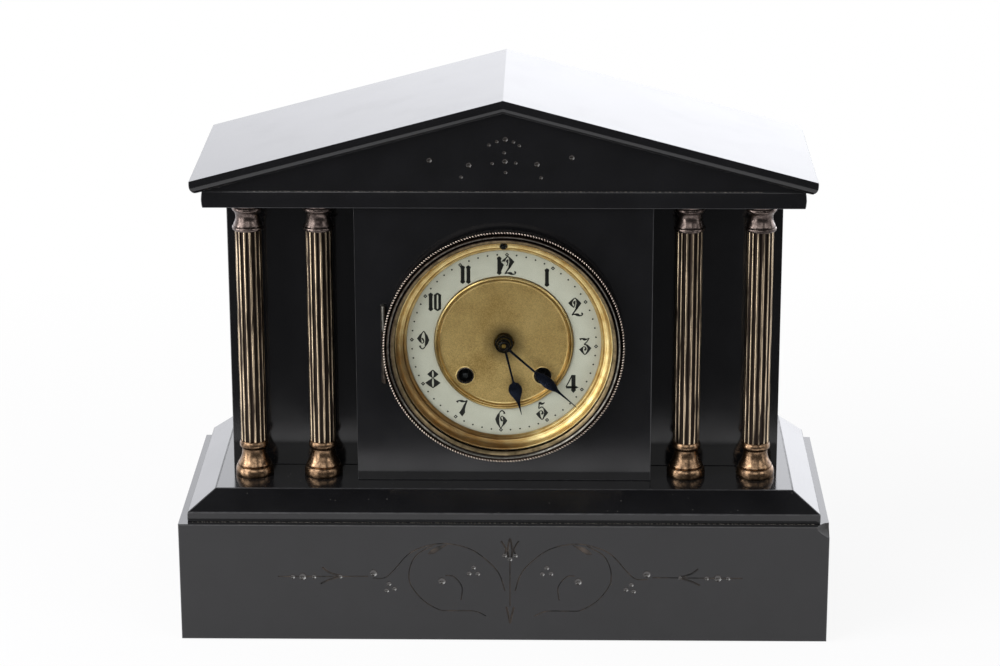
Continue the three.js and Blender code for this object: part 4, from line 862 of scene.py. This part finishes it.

# %% [markdown]
# ## Dial pan
# Inside the bezel a gilt ring slopes down to the dial like the side of a dish. It is one turning with the
# pan that carries the dial. The imported pan's feet and holes are kept: two winding holes and the regulator's.
# The gilding shows rings from the turning tool, and painted shade darkens it towards the lower left.

# %% Turned gilding


def from_dial_middle(tree, where):
    """The place measured from the dial's middle, and the distance from its axis."""
    centred = add(tree, "Mapping", {"Location": (0, 0, -DIAL_Z * MM)}, {"Vector": where})
    flat = add(tree, "VectorMath", {1: (1.0, 0.0, 1.0)}, {0: centred}, operation="MULTIPLY")
    reach = add(tree, "VectorMath", {}, {0: flat}, operation="LENGTH")
    return centred, reach.outputs["Value"]


gilding, tree, shader, where = new_finish("turned_gilt_sight_ring", {"Metallic": 1.0})
centred, reach = from_dial_middle(tree, where)
tool_marks = add(
    tree, "TexNoise", {"Scale": per_mm(0.6), "Detail": 3.0}, {"W": reach}, noise_dimensions="1D"
)
patch = add(tree, "TexNoise", {"Scale": per_mm(8), "Detail": 5.0}, {"Vector": where})
mottle = add(tree, "Math", {}, {0: tool_marks, 1: patch}, operation="ADD")
spread = add(tree, "MapRange", {1: 0.75, 2: 1.25}, {0: mottle})
tone = add(tree, "Mix", {6: linear("#c59a58"), 7: linear("#f6dfa8")}, {0: spread}, data_type="RGBA")
# Painted shade: the gilding darkens towards the lower left of the dish, the side the lamps leave dim.
height = add(tree, "SeparateXYZ", {}, {0: centred})
slant = add(
    tree, "Math", {1: 0.9}, {0: height.outputs["X"], 2: height.outputs["Z"]}, operation="MULTIPLY_ADD"
)
foot = add(tree, "MapRange", {1: -66 * MM, 2: -36 * MM, 3: 0.8, 4: 0.0}, {0: slant})
darkened_tone = add(tree, "Mix", {7: linear("#75502e")}, {0: foot, 6: tone.outputs[2]}, data_type="RGBA")
gloss = add(tree, "MapRange", {3: 0.46, 4: 0.36}, {0: spread})
lathe = add(tree, "Bump", {"Strength": 0.25, "Distance": 0.03 * MM}, {"Height": tool_marks})
connect(tree, shader, {"Base Color": darkened_tone.outputs[2], "Roughness": gloss, "Normal": lathe})
print("made", gilding.name)

# %% Turn the pan
pan_curve = [
    (71.7, -45.7), (71.7, -46.5), (71.5, -46.7), (69.6, -46.7), (69.4, -47.0), (69.3, -51.6), (68.9, -52.6),
    (68.2, -52.9), (67.7, -52.7), (67.45, -52.0), (67.25, -51.2), (66.9, -50.3), (66.3, -49.5),
    (65.5, -48.85), (64.6, -48.35), (64.0, -48.08), (63.5, -47.9), (63.35, -47.5), (63.2, -47.65),
    (62.8, -47.95), (62.3, -47.85), (61.8, -47.3), (61.35, -46.6), (61.2, -46.2), (61.2, -45.1),
    (63.0, -45.1), (63.0, -43.0), (6.4, -43.0), (6.4, -41.4), (65.2, -41.4), (65.2, -45.7), (71.7, -45.7),
]
DIAL_STEPS = 144
pan = turned("dial_pan_turned", pan_curve, dial_centre, DIAL_AXIS, DIAL_STEPS)
paint(pan, gilding)
print("pan has", len(pan.data.polygons), "faces")

# %% Drill the pan and add its feet
WINDING = [(24.4, DIAL_Z - 21.9), (-24.4, DIAL_Z - 21.9)]
WINDING_HOLE, REGULATOR_HOLE, REGULATOR_Z = 5.5, 2.5, DIAL_Z + 64.48
FOOT_RADIUS, FOOT_CIRCLE, FOOT_ANGLES, FOOT_FRONT, FOOT_BACK = 3.0, 50, (41, 139, 221, 319), -42.4, -29.0
holes = [bar("hole", WINDING_HOLE, (x, -48, z), (x, -40, z)) for x, z in WINDING]
holes.append(bar("hole", REGULATOR_HOLE, (0, -60, REGULATOR_Z), (0, -40, REGULATOR_Z)))
carve(pan, joined("pan_holes", holes), gilding)
feet = []
for angle in map(math.radians, FOOT_ANGLES):
    x, z = FOOT_CIRCLE * math.cos(angle), DIAL_Z + FOOT_CIRCLE * math.sin(angle)
    foot = bar("foot", FOOT_RADIUS, (x, FOOT_FRONT, z), (x, FOOT_BACK, z))
    paint(foot, gilding)
    feet.append(foot)
pan = joined("dial_pan_turned", [pan, *feet])
bpy.ops.object.shade_smooth_by_angle(angle=math.radians(SMOOTH))
settle(pan, "case", "gilt", "dial_pan")
print("pan has", len(pan.data.polygons), "faces")

# %% [markdown]
# ## Enamel chapter ring
# The hour ring is vitreous enamel fired on copper: an off-white glass with a soft gloss, faint clouds from
# the firing and a rounded edge where it flowed.

# %% Enamel ring
ENAMEL_IOR = 1.5
enamel = mottled(
    "fired_enamel", ("#b3afa4", "#c5c2b8"), 9, 6, relief=(0.15, 0.06, 4, 2), Roughness=0.16, IOR=ENAMEL_IOR
)
ring_curve = [
    (43.9, -43.0), (43.9, -44.3), (44.05, -44.62), (44.4, -44.8), (62.3, -44.8), (62.6, -44.65),
    (62.7, -44.3), (62.7, -43.0), (43.9, -43.0),
]
chapter = turned("chapter_ring_enamel", ring_curve, dial_centre, DIAL_AXIS, DIAL_STEPS)
paint(chapter, enamel)
settle(chapter, "case", "enamel", "chapter_ring")
print("enamel ring has", len(chapter.data.polygons), "faces")

# %% [markdown]
# ## Numerals
# The numerals are upright figures in a heavy ornamental style: pointed bars, and bowls like split diamonds.
# Each one is drawn here from outlines and from brush strokes of (x, z, width), in millimetres from the
# figure's middle, and filled. The parts of one figure lie in separate curves, because a filled curve would
# leave holes where its own outlines cross.

# %% Draw the parts that figures share


def mirrored(outline):
    return [(-x, z) for x, z in outline]


def upended(item):
    return [(-x, -z, *width) for x, z, *width in item]


BAR_FIGURE = [
    (0, 5.9), (1.25, 5.0), (1.25, 4.4), (0.95, 3.8), (0.95, -3.8), (1.25, -4.4), (1.25, -5.0), (0, -5.9),
    (-1.25, -5.0), (-1.25, -4.4), (-0.95, -3.8), (-0.95, 3.8), (-1.25, 4.4), (-1.25, 5.0),
]
HALF_NOUGHT = [
    (0, 5.9), (2.25, 4.4), (2.0, 3.5), (2.0, -3.5), (2.25, -4.4), (0, -5.9), (0, -5.3), (0.7, -4.2),
    (0.7, 4.2), (0, 5.3),
]
UPPER_LOBE = [
    (0, 5.75), (-1.6, 4.6), (-3.4, 3.0), (-1.8, 1.6), (0, 0.5), (-0.6, 1.7), (-0.75, 3.1), (-0.6, 4.5),
]
LOWER_LOBE = [
    (0, 0.6), (-1.9, -0.8), (-4.7, -2.7), (-2.4, -4.6), (0, -6.0), (-0.65, -4.6), (-0.85, -2.8),
    (-0.65, -0.9),
]
SIX = [
    [(-0.8, 5.0), (-2.6, 2.6), (-3.7, 0), (-2.6, -3.1), (-0.5, -5.8), (-1.3, -3.1), (-1.5, 0), (-1.2, 3.1)],
    [(0.6, 2.3), (2.0, 1.2), (3.7, -1.0), (2.0, -3.4), (-0.4, -5.9), (1.0, -3.2), (1.4, -0.9), (1.1, 1.2)],
    [(-0.95, 4.7, 0.5), (0.3, 5.8, 0.4), (1.7, 4.9, 0.6), (2.0, 3.6, 1.1)],
    [(0.7, 2.2, 0.3), (-0.4, 1.3, 0.3), (0.1, -0.5, 0.9), (0.9, -1.3, 0.5)],
    [(-1.6, -4.3, 0.35), (-0.45, -5.75, 0.35), (0.8, -4.3, 0.35)],
]
print("a six takes", len(SIX), "outlines and strokes")

# %% Draw the figures
FIGURES = {
    "0": [HALF_NOUGHT, mirrored(HALF_NOUGHT)],
    "1": [BAR_FIGURE],
    "2": [
        [(-0.4, 6.0), (-2.0, 4.9), (-4.5, 2.55), (-2.6, 0.7), (-1.0, -0.5), (-2.0, 1.2), (-2.3, 2.6),
         (-1.7, 4.3)],
        [(-0.4, 6.0), (1.2, 4.9), (3.5, 2.45), (1.8, 0.1), (0.2, -1.6), (0.1, -0.4), (0.75, 2.4),
         (0.45, 4.4)],
        [(-2.0, 4.7, 0.35), (-0.4, 5.85, 0.35), (0.8, 4.9, 0.4)],
        [(-0.2, 4.0, 0.3), (-0.8, 2.9, 1.3), (-0.5, 1.5, 0.4), (-1.2, -0.3, 0.35)],
        [(1.3, -0.1, 0.9), (-0.6, -2.9, 0.65), (-2.3, -5.5, 0.4)],
        [(-2.3, -5.4, 0.35), (-0.8, -4.8, 0.45), (1.3, -5.1, 1.5), (2.7, -5.7, 0.6), (4.2, -5.2, 0.4),
         (4.4, -4.3, 0.5), (3.6, -4.1, 1.1)],
    ],
    "3": [
        [(-0.2, 1.2), (1.8, 0.7), (4.0, -1.4), (2.1, -4.1), (0.1, -5.7), (1.5, -3.5), (1.9, -1.6),
         (1.1, 0.3)],
        [(-0.9, -0.4), (-3.4, -2.3), (-1.8, -4.2), (0.1, -5.7), (-0.9, -4.0), (-1.3, -2.5)],
        [(-3.1, 4.2, 1.4), (-1.9, 4.9, 0.45), (-0.3, 4.4, 1.4), (1.1, 4.5, 0.5), (2.8, 5.2, 0.35)],
        [(2.8, 5.2, 0.3), (1.2, 2.7, 0.4), (-0.3, 1.1, 0.4), (0.9, 0.9, 0.4)],
        [(-1.0, -0.5, 0.3), (0.2, -0.7, 0.3), (0.6, -2.0, 0.9), (-0.3, -2.9, 0.8)],
        [(-1.3, -4.5, 0.35), (0.1, -5.6, 0.35), (1.5, -4.5, 0.35)],
    ],
    "4": [
        [(-0.4, 5.9), (1.8, 5.9), (1.8, -3.2), (2.1, -4.2), (0.7, -5.9), (-0.7, -4.2), (-0.4, -3.2)],
        [(-4.2, -1.7), (-3.7, -2.9), (2.5, -2.9), (3.8, -2.35), (2.5, -1.7)],
        [(-0.3, 5.6, 0.45), (-2.0, 1.8, 0.4), (-4.0, -2.0, 0.4)],
    ],
    "5": [
        [(0.3, 2.4), (1.8, 1.2), (3.9, -1.4), (2.2, -3.6), (0.2, -6.0), (1.2, -3.6), (1.7, -1.4),
         (1.2, 1.0)],
        [(-1.4, -0.3), (-3.6, -2.3), (-1.7, -4.5), (0.2, -6.0), (-0.9, -4.0), (-1.2, -2.3)],
        [(-1.7, 5.5, 0.5), (-0.9, 5.0, 1.3), (0.2, 4.5, 0.9), (1.8, 5.4, 0.35)],
        [(-1.7, 5.5, 0.4), (-1.75, 3.4, 0.4), (-1.85, 1.5, 0.4), (-0.3, 2.4, 0.4), (1.0, 2.0, 0.5)],
        [(-1.4, -0.4, 0.3), (0.0, -0.2, 0.3), (0.6, -1.6, 0.9), (-0.3, -2.5, 0.8)],
        [(-1.3, -4.7, 0.35), (0.2, -5.9, 0.35), (1.5, -4.6, 0.35)],
    ],
    "6": SIX,
    "7": [
        [(3.8, 4.9), (2.5, 1.2), (2.0, -1.0), (2.1, -3.2), (0.4, -5.7), (-1.4, -3.4), (0.2, -1.2),
         (1.5, 1.6), (3.2, 4.4)],
        [(-2.9, 3.7, 1.5), (-1.7, 4.7, 0.4), (0.2, 4.4, 1.3), (2.0, 4.1, 0.5), (3.7, 4.9, 0.3)],
    ],
    "8": [
        UPPER_LOBE, mirrored(UPPER_LOBE), LOWER_LOBE, mirrored(LOWER_LOBE),
        [(-1.2, 4.8, 0.35), (0, 5.65, 0.35), (1.2, 4.8, 0.35)],
        [(-1.2, -5.0, 0.35), (0, -5.85, 0.35), (1.2, -5.0, 0.35)],
    ],
    "9": [upended(item) for item in SIX],
}
print("drew", len(FIGURES), "figures")

# %% Turn the drawings into outlines
HAIRLINE, BOLD = 0.34, 0.22


def bolder(outline, grow):
    """The outline with every corner moved outwards."""
    before, after = outline[-1:] + outline[:-1], outline[1:] + outline[:1]
    twice_area = sum(a[0] * b[1] - b[0] * a[1] for a, b in zip(outline, after))
    grown = []
    for a, here, b in zip(before, outline, after):
        way = Vector((b[0] - a[0], b[1] - a[1])).normalized() * math.copysign(grow, twice_area)
        grown.append((here[0] + way.y, here[1] - way.x))
    return grown


def outline_of(item):
    """A somewhat bolder outline, or the two sides of a brush stroke."""
    if len(item[0]) == 2:
        return bolder(item, BOLD)
    path = smooth_path(item)
    left, right = [], []
    for i, (x, z, width) in enumerate(path):
        before, after = path[max(i - 1, 0)], path[min(i + 1, len(path) - 1)]
        way = Vector((after[0] - before[0], after[1] - before[1])).normalized()
        off = Vector((-way.y, way.x)) * (width + HAIRLINE) / 2
        left.append((x + off.x, z + off.y))
        right.append((x - off.x, z - off.y))
    return left + right[::-1]


print("strokes are", HAIRLINE, "mm wider than drawn")

# %% Set the numerals round the ring
HOUR_RADIUS, DIAL_TURN, INK, ENAMEL_FACE = 50.9, 2.0, 0.05, -44.8
SPACED = {10: [("1", -2.7), ("0", 1.6)], 11: [("1", -1.8), ("1", 1.8)], 12: [("1", -4.6), ("2", 1.2)]}


def clock_place(radius, degrees_from_twelve):
    angle = math.radians(degrees_from_twelve + DIAL_TURN)
    return radius * math.sin(angle), DIAL_Z + radius * math.cos(angle)


layers = {}
for hour in range(1, 13):
    middle_x, middle_z = clock_place(HOUR_RADIUS, 30 * hour)
    for figure, shift in SPACED.get(hour, [(str(hour), 0)]):
        for layer, item in enumerate(FIGURES[figure]):
            points = [(middle_x + shift + x, middle_z + z) for x, z in outline_of(item)]
            layers.setdefault(layer, []).append(points)
ink = mottled("fired_black_ink", ("#080808", "#191815"), 1.5, 4, Roughness=0.3, IOR=ENAMEL_IOR)
sheets = [flat_shapes("figures", outlines, INK, ENAMEL_FACE - INK / 2) for outlines in layers.values()]
numerals = joined("dial_numerals", sheets)
paint(numerals, ink)
settle(numerals, "case", "enamel")
print("numerals have", len(numerals.data.polygons), "faces")

# %% Minute dots and five-minute lozenges
MINUTE_RADIUS, DOT_RADIUS, LOZENGE, LOZENGE_HOLE = 58.0, 0.58, 1.35, 0.4


def regular(x, z, size, corners):
    turns = [2 * math.pi * i / corners for i in range(corners)]
    return [(x + size * math.sin(t), z + size * math.cos(t)) for t in turns]


marks = []
for minute in range(60):
    x, z = clock_place(MINUTE_RADIUS, 6 * minute)
    if minute % 5:
        marks.append(regular(x, z, DOT_RADIUS, 10))
    else:
        marks.append(regular(x, z, LOZENGE, 4))
        marks.append(regular(x, z, LOZENGE_HOLE, 8))
minutes = flat_shapes("dial_minutes", marks, INK, ENAMEL_FACE - INK / 2)
paint(minutes, ink)
settle(minutes, "case", "enamel")
print("minute ring has", len(marks), "marks")

# %% [markdown]
# ## Dial centre
# The middle of the dial is a pressed brass disc, stippled by acid and lacquered, inside a double beaded rim.
# Its tone darkens towards the middle, round the hands. The noise has grains of about 0.7 mm, a little coarser
# than the real stipple, so that it shows in the render.

# %% Stippled brass
dial_brass, tree, shader, where = new_finish("stippled_dial_brass", {"Metallic": 1.0})
_, reach = from_dial_middle(tree, where)
# The brass darkens towards the middle, within 15 mm of the axis.
darker_near_axis = add(tree, "MapRange", {1: 6 * MM, 2: 15 * MM, 3: 0.7, 4: 0.0}, {0: reach})
grain = add(tree, "TexNoise", {"Scale": per_mm(0.7), "Detail": 3.0, "Roughness": 0.7}, {"Vector": where})
cloud = add(tree, "TexNoise", {"Scale": per_mm(25), "Detail": 4.0}, {"Vector": where})
mottle = add(tree, "Math", {}, {0: grain, 1: cloud}, operation="ADD")
spread = add(tree, "MapRange", {1: 0.7, 2: 1.25}, {0: mottle})
tone = add(tree, "Mix", {6: linear("#9a7b46"), 7: linear("#e4c284")}, {0: spread}, data_type="RGBA")
darkened_tone = add(tree, "Mix", {7: linear("#4a3a20")}, {0: darker_near_axis, 6: tone.outputs[2]}, data_type="RGBA")
gloss = add(tree, "MapRange", {3: 0.58, 4: 0.42}, {0: spread})
stipple = add(tree, "Bump", {"Strength": 0.5, "Distance": 0.12 * MM}, {"Height": grain})
connect(tree, shader, {"Base Color": darkened_tone.outputs[2], "Roughness": gloss, "Normal": stipple})
print("made", dial_brass.name)

# %% Turn the dial centre
centre_curve = [
    (6.4, -43.0), (43.6, -43.0), (43.6, -45.6), (43.45, -46.15), (43.0, -46.45), (42.5, -46.3),
    (42.2, -45.7), (42.05, -45.35), (41.9, -45.5), (41.6, -45.85), (41.2, -45.9), (40.9, -45.5),
    (40.75, -44.7), (40.5, -44.1), (40.0, -43.85), (39.0, -43.8), (6.4, -43.8), (6.4, -43.0),
]
RIM_IN = 40.0
disc = turned("dial_centre_disc", centre_curve, dial_centre, DIAL_AXIS, 128)
paint(disc, dial_brass, metals["rim_brass"])
for face in disc.data.polygons:
    if math.hypot(face.center.x, face.center.z - DIAL_Z * MM) > RIM_IN * MM:
        face.material_index = 1
holes = [bar("hole", WINDING_HOLE, (x, -46, z), (x, -42, z)) for x, z in WINDING]
carve(disc, joined("disc_holes", holes), dial_brass)
print("dial centre has", len(disc.data.polygons), "faces")

# %% Line the winding holes with collars
collar_curve = [
    (4.6, -43.2), (4.6, -43.7), (5.3, -43.8), (5.5, -44.2), (5.8, -44.3), (6.2, -44.15), (6.4, -43.7),
    (4.6, -43.2),
]
COLLAR_PAINTED_SHADE = 5.45  # the radius inside which the collar is painted dark, as painted shade at the hole's edge
collars = []
for x, z in WINDING:
    collar = turned("collar", collar_curve, (x, 0, z), DIAL_AXIS, 48)
    # Inside the given radius the collar takes the dark bronze: painted shade at the edge of the hole.
    paint(collar, metals["rim_brass"], metals["patinated_bronze"])
    for face in collar.data.polygons:
        face.material_index = int(math.hypot(face.center.x / MM - x, face.center.z / MM - z) < COLLAR_PAINTED_SHADE)
    collars.append(collar)
disc = joined("dial_centre_disc", [disc, *collars])
settle(disc, "case", "brass", "dial_centre")
print("dial centre has", len(disc.data.polygons), "faces")

# %% [markdown]
# ## Hands
# The hands are sawn from sheet steel and blued by heat: a thin shank, a spade-shaped leaf and a long needle.
# Each outline is drawn pointing to twelve, turned to the time in the photograph and filled. The collet and
# the boss at the middle are darkened bronze.

# %% Saw out the hands
SHANK_FOOT, SHANK_TOP, TIP = 0.75, 0.62, 0.12  # half widths along a hand


def hand_outline(leaf_points, length, hub, angle):
    shank = [(SHANK_FOOT, hub * 0.9), (SHANK_TOP, leaf_points[0][1] - 3)]
    side = smooth_path([*shank, *leaf_points, (TIP, length)], 8)
    points = side + [(-x, z) for x, z in side[::-1]]
    c, s = math.cos(math.radians(angle)), math.sin(math.radians(angle))
    return [(x * c + z * s, DIAL_Z + z * c - x * s) for x, z in points]


HOUR_ANGLE, MINUTE_ANGLE = 166.5, 131.7
hour_leaf = [(0.9, 25.6), (2.9, 27.0), (4.25, 30.0), (3.9, 32.8), (2.3, 36.2), (0.95, 40.0)]
minute_leaf = [(0.75, 26.5), (2.0, 29.5), (3.3, 34.5), (3.4, 38.6), (2.2, 42.4), (0.8, 47.0)]
SHEET, HAND_EASE, HOUR_Y, MINUTE_Y = 0.8, 0.16, -48.3, -50.1
hour_line = hand_outline(hour_leaf, 47.9, 5.4, HOUR_ANGLE)
minute_line = hand_outline(minute_leaf, 61.4, 4.0, MINUTE_ANGLE)
hour = flat_shapes("hour_hand_blade", [hour_line], SHEET, HOUR_Y)
minute = flat_shapes("minute_hand_blade", [minute_line], SHEET, MINUTE_Y)
for blade in (hour, minute):
    paint(blade, metals["blued_steel"])
    ease(blade, HAND_EASE, 2, SMOOTH)
print("hands set at", HOUR_ANGLE, "and", MINUTE_ANGLE, "degrees")

# %% Collet, hub and nut at the middle of the hands
BOSSES = {
    "collet": (64, [
        (4.8, -44.9), (5.3, -44.9), (5.75, -45.3), (5.75, -48.2), (5.4, -48.7), (4.8, -48.7), (4.8, -44.9),
    ]),
    "hub": (48, [
        (3.0, -49.7), (4.0, -49.7), (4.2, -49.9), (4.2, -50.3), (4.0, -50.5), (3.0, -50.5), (3.0, -49.7),
    ]),
    "hand_nut_domed": (48, [
        (1.8, -50.5), (3.3, -50.5), (3.4, -50.8), (3.3, -51.3), (2.9, -51.7), (2.3, -51.88), (1.8, -51.9),
        (1.8, -50.5),
    ]),
}
bosses = {}
for name, (steps, curve) in BOSSES.items():
    bosses[name] = turned(name, curve, dial_centre, DIAL_AXIS, steps)
    paint(bosses[name], metals["dark_boss_bronze"])
hour = joined("hour_hand_blade", [hour, bosses["collet"]])
minute = joined("minute_hand_blade", [minute, bosses["hub"]])
settle(hour, "hour_work", "blued_steel", "hour_hand")
settle(minute, "minute_work", "blued_steel", "minute_hand")
settle(bosses["hand_nut_domed"], "minute_work", "brass", "hand_nut")
print("turned", len(bosses), "bosses")

# %% [markdown]
# ## Movement and rear
# What stands behind the dial is seen when the doors are open: brass plates and wheels, steel arbors, the
# bell and the pendulum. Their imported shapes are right, so each copy is only welded, given softly broken
# edges and its own metal. The bell is turned afresh, because its curve wants more facets.

# %% Dress the movement and the rear door
WORK_SMOOTH = 32
# For each finish: its slot, the width and segments of the broken edge, and the pieces
WORK = {
    "movement_brass": ("brass", 0.1, 1, [
        "front_plate", "back_plate", "going_barrel", "strike_barrel", "intermediate_wheel", "centre_wheel",
        "third_wheel", "escape_wheel", "minute_wheel", "hour_wheel", "pin_wheel", "fly", "pendulum_rod",
        "pendulum_bob",
    ]),
    "movement_steel": ("steel", 0.1, 1, ["pallet_anchor", "cannon_pinion", "hammer", "bell_stand"]),
    # The arbors seen down the winding and regulator holes are darkened steel: painted shade of the holes.
    "dark_steel": ("steel", 0.1, 1, ["going_winding_arbor", "strike_winding_arbor", "regulator_arbor"]),
    "tarnished_door_brass": ("brass", 0.2, 2, ["rear_ring", "rear_door"]),
}
# The other pieces ride on a body of their own name
RIDES_ON = {
    "front_plate": "case", "back_plate": "case", "bell_stand": "case", "rear_ring": "case",
    "hour_wheel": "hour_work", "cannon_pinion": "minute_work", "regulator_arbor": "regulator",
    "pendulum_rod": "pendulum", "pendulum_bob": "pendulum",
}
for finish, (slot, width, segments, nodes) in WORK.items():
    for node in nodes:
        piece = copy_of(node, node + "_finished")
        paint(piece, metals[finish])
        ease(piece, width, segments, WORK_SMOOTH)
        settle(piece, RIDES_ON.get(node, node), slot, node)
    print("dressed", len(nodes), "pieces in", finish)

# %% Turn the bell
MOUTH_Y, WALL, CORE = 36.0, 2.0, 2.4
bell_x, _, bell_z = middle_of("bell")
outside = smooth_path([
    (36.0, MOUTH_Y), (35.2, 40.0), (33.4, 45.2), (28.6, 51.5), (21.0, 55.6), (11.0, 57.6), (CORE, 58.0),
], 5)
# The wall lies inwards at the mouth and comes to lie forwards at the crown
inside = [
    (max(r - WALL * (1 - (y - MOUTH_Y) / 30), CORE), max(y - WALL * (y - MOUTH_Y) / 22, MOUTH_Y))
    for r, y in outside
]
bell_curve = [*outside, *inside[::-1], outside[0]]
bell = turned("bell_cup", bell_curve, (bell_x, 0, bell_z), DIAL_AXIS, 96)
paint(bell, metals["bell_metal"])
settle(bell, "case", "bell_metal", "bell")
print("bell has", len(bell.data.polygons), "faces")

# %% [markdown]
# ## Studio
# The photograph was taken on white paper in front of a brightly lit white sweep. The polished front mirrors
# the paper below it and, beyond the paper's near edge, the dark room. The roof and the side slopes mirror
# the sweep, which is brighter on the right. A soft key from the upper left, a box beside the camera and a
# fill from the right light the dial. A low panel on the left brightens the right half of the gilt ring, and
# two tall strips at the sides draw the ridges of the columns.

# %% Floor
FLOOR_WIDTH, FLOOR_NEAR, FLOOR_FAR, FLOOR_Z = 2.4, -0.355, 1.25, -0.0004
bpy.ops.object.select_all(action="DESELECT")
bpy.ops.mesh.primitive_plane_add(size=1, location=(0, (FLOOR_NEAR + FLOOR_FAR) / 2, FLOOR_Z))
floor = bpy.context.object
floor.name = "paper_floor"
bpy.ops.object.mode_set(mode="EDIT")
bpy.ops.transform.resize(value=(FLOOR_WIDTH, FLOOR_FAR - FLOOR_NEAR, 1), center_override=floor.location)
bpy.ops.mesh.subdivide(number_cuts=3)
bpy.ops.object.mode_set(mode="OBJECT")
bpy.ops.object.transform_apply()
print("floor is", FLOOR_WIDTH, "m wide")

# %% White paper, which glows a little to the camera and in reflections
paper = bpy.data.materials.new("white_paper")
paper.use_nodes = True
tree = paper.node_tree
tree.nodes.clear()
path = add(tree, "LightPath")
camera_ray, glossy_ray = path.outputs["Is Camera Ray"], path.outputs["Is Glossy Ray"]
matte = add(tree, "BsdfDiffuse", {"Color": linear("#f5f4f8")})
bright = add(tree, "MapRange", {3: 1.0, 4: 1.8}, {0: glossy_ray})
glow = add(tree, "Emission", {"Color": WHITE}, {"Strength": bright})
away = add(tree, "SeparateXYZ", {}, {0: add(tree, "TexCoord").outputs["Object"]})
fade = add(tree, "MapRange", {1: 0.15, 2: 0.7, 3: 0.9, 4: 1.0}, {0: away.outputs["Y"]})
seen = add(tree, "Math", {}, {0: camera_ray, 1: fade}, operation="MULTIPLY")
seen = add(tree, "Math", {1: 0.25}, {0: glossy_ray, 2: seen}, operation="MULTIPLY_ADD")
sheet = add(tree, "MixShader", {}, {0: seen, 1: matte, 2: glow})
add(tree, "OutputMaterial", {}, {"Surface": sheet})
paint(floor, paper)
print("made", paper.name)

# %% World: white to the eye, a lit sweep behind and a dim room in front for reflections
world = bpy.data.worlds.new("studio")
bpy.context.scene.world = world
world.use_nodes = True
tree = world.node_tree
tree.nodes.clear()
path = add(tree, "LightPath")
camera_ray, glossy_ray = path.outputs["Is Camera Ray"], path.outputs["Is Glossy Ray"]
way = add(tree, "SeparateXYZ", {}, {0: add(tree, "TexCoord").outputs["Generated"]})
behind = add(tree, "MapRange", {1: 0.0, 2: 0.4}, {0: way.outputs["Y"]})
lit = add(tree, "MapRange", {1: -0.22, 2: 0.0, 3: 2.1, 4: 3.3}, {0: way.outputs["X"]})
low_down = add(tree, "MapRange", {1: 0.45, 2: 0.75, 3: 1.0, 4: 0.03}, {0: way.outputs["Z"]})
sweep = add(tree, "Math", {}, {0: behind, 1: lit}, operation="MULTIPLY")
sweep = add(tree, "Math", {}, {0: sweep, 1: low_down}, operation="MULTIPLY")
room = add(tree, "Math", {1: 0.1}, {0: sweep}, operation="MAXIMUM")
mirror_part = add(tree, "Math", {}, {0: glossy_ray, 1: room}, operation="MULTIPLY")
seen = add(
    tree, "Math", {}, {0: camera_ray, 1: path.outputs["Is Transmission Ray"]}, operation="MAXIMUM"
)
fill = add(tree, "MapRange", {3: 0.38, 4: 0.0}, {0: glossy_ray})
level = add(tree, "Math", {}, {0: seen, 1: mirror_part}, operation="MAXIMUM")
level = add(tree, "Math", {}, {0: level, 1: fill}, operation="MAXIMUM")
cool = add(tree, "Mix", {6: WHITE, 7: linear("#f9faff")}, {0: glossy_ray}, data_type="RGBA")
sky = add(tree, "Background", {}, {"Color": cool.outputs[2], "Strength": level})
add(tree, "OutputWorld", {}, {"Surface": sky})
print("world ready")

# %% Soft boxes
BOXES = {
    "key_left": ((-1.75, -1.25, 1.5), (1.7, 1.7), 4.7),
    "front": ((-0.2, -2.5, 1.3), (1.9, 1.3), 1.7),
    "fill_right": ((1.6, -1.5, 1.2), (1.0, 1.2), 2.2),
    "low_left": ((-1.25, -1.05, 0.05), (0.6, 0.9), 3.2),
    "strip_left": ((-1.5, -0.35, 0.35), (0.4, 0.9), 6.5),
    "strip_right": ((1.4, -0.4, 0.5), (0.4, 1.0), 1.5),
}
target = Vector((0, 0, 0.2))
for name, (place, (wide, tall), radiance) in BOXES.items():
    bpy.ops.object.light_add(type="AREA", location=place)
    box = bpy.context.object
    box.name = name
    box.data.shape = "RECTANGLE"
    box.data.size = wide
    box.data.size_y = tall
    box.data.energy = radiance * math.pi * wide * tall
    box.rotation_euler = (target - Vector(place)).to_track_quat("-Z", "Y").to_euler()
    box.visible_camera = False
print("lit by", len(BOXES), "soft boxes")

# %% [markdown]
# ## Camera
# The lens, place and tilt were worked out from the clock's own edges in the photograph: a long lens from
# just under two metres, a little right of the middle and looking down by eighteen degrees.

# %% Camera
YAW, PITCH, ROLL = (math.radians(a) for a in (-1.109, 17.949, -0.163))
LENS, SENSOR, STAND = 110.9, 36, (33.2, -1886.7, 789.6)
forward = Vector((math.sin(YAW) * math.cos(PITCH), math.cos(YAW) * math.cos(PITCH), -math.sin(PITCH)))
level_right = Vector((math.cos(YAW), -math.sin(YAW), 0))
level_up = level_right.cross(forward)
right = level_right * math.cos(ROLL) + level_up * math.sin(ROLL)
up = level_up * math.cos(ROLL) - level_right * math.sin(ROLL)
bpy.ops.object.camera_add()
camera = bpy.context.object
camera.data.lens = LENS
camera.data.sensor_width = SENSOR
turn = Matrix((right, up, -forward)).transposed().to_4x4()
camera.matrix_world = Matrix.Translation(Vector(STAND) * MM) @ turn
bpy.context.scene.camera = camera
bpy.context.scene.view_settings.view_transform = "Standard"
print("camera looks along", [round(v, 3) for v in forward])
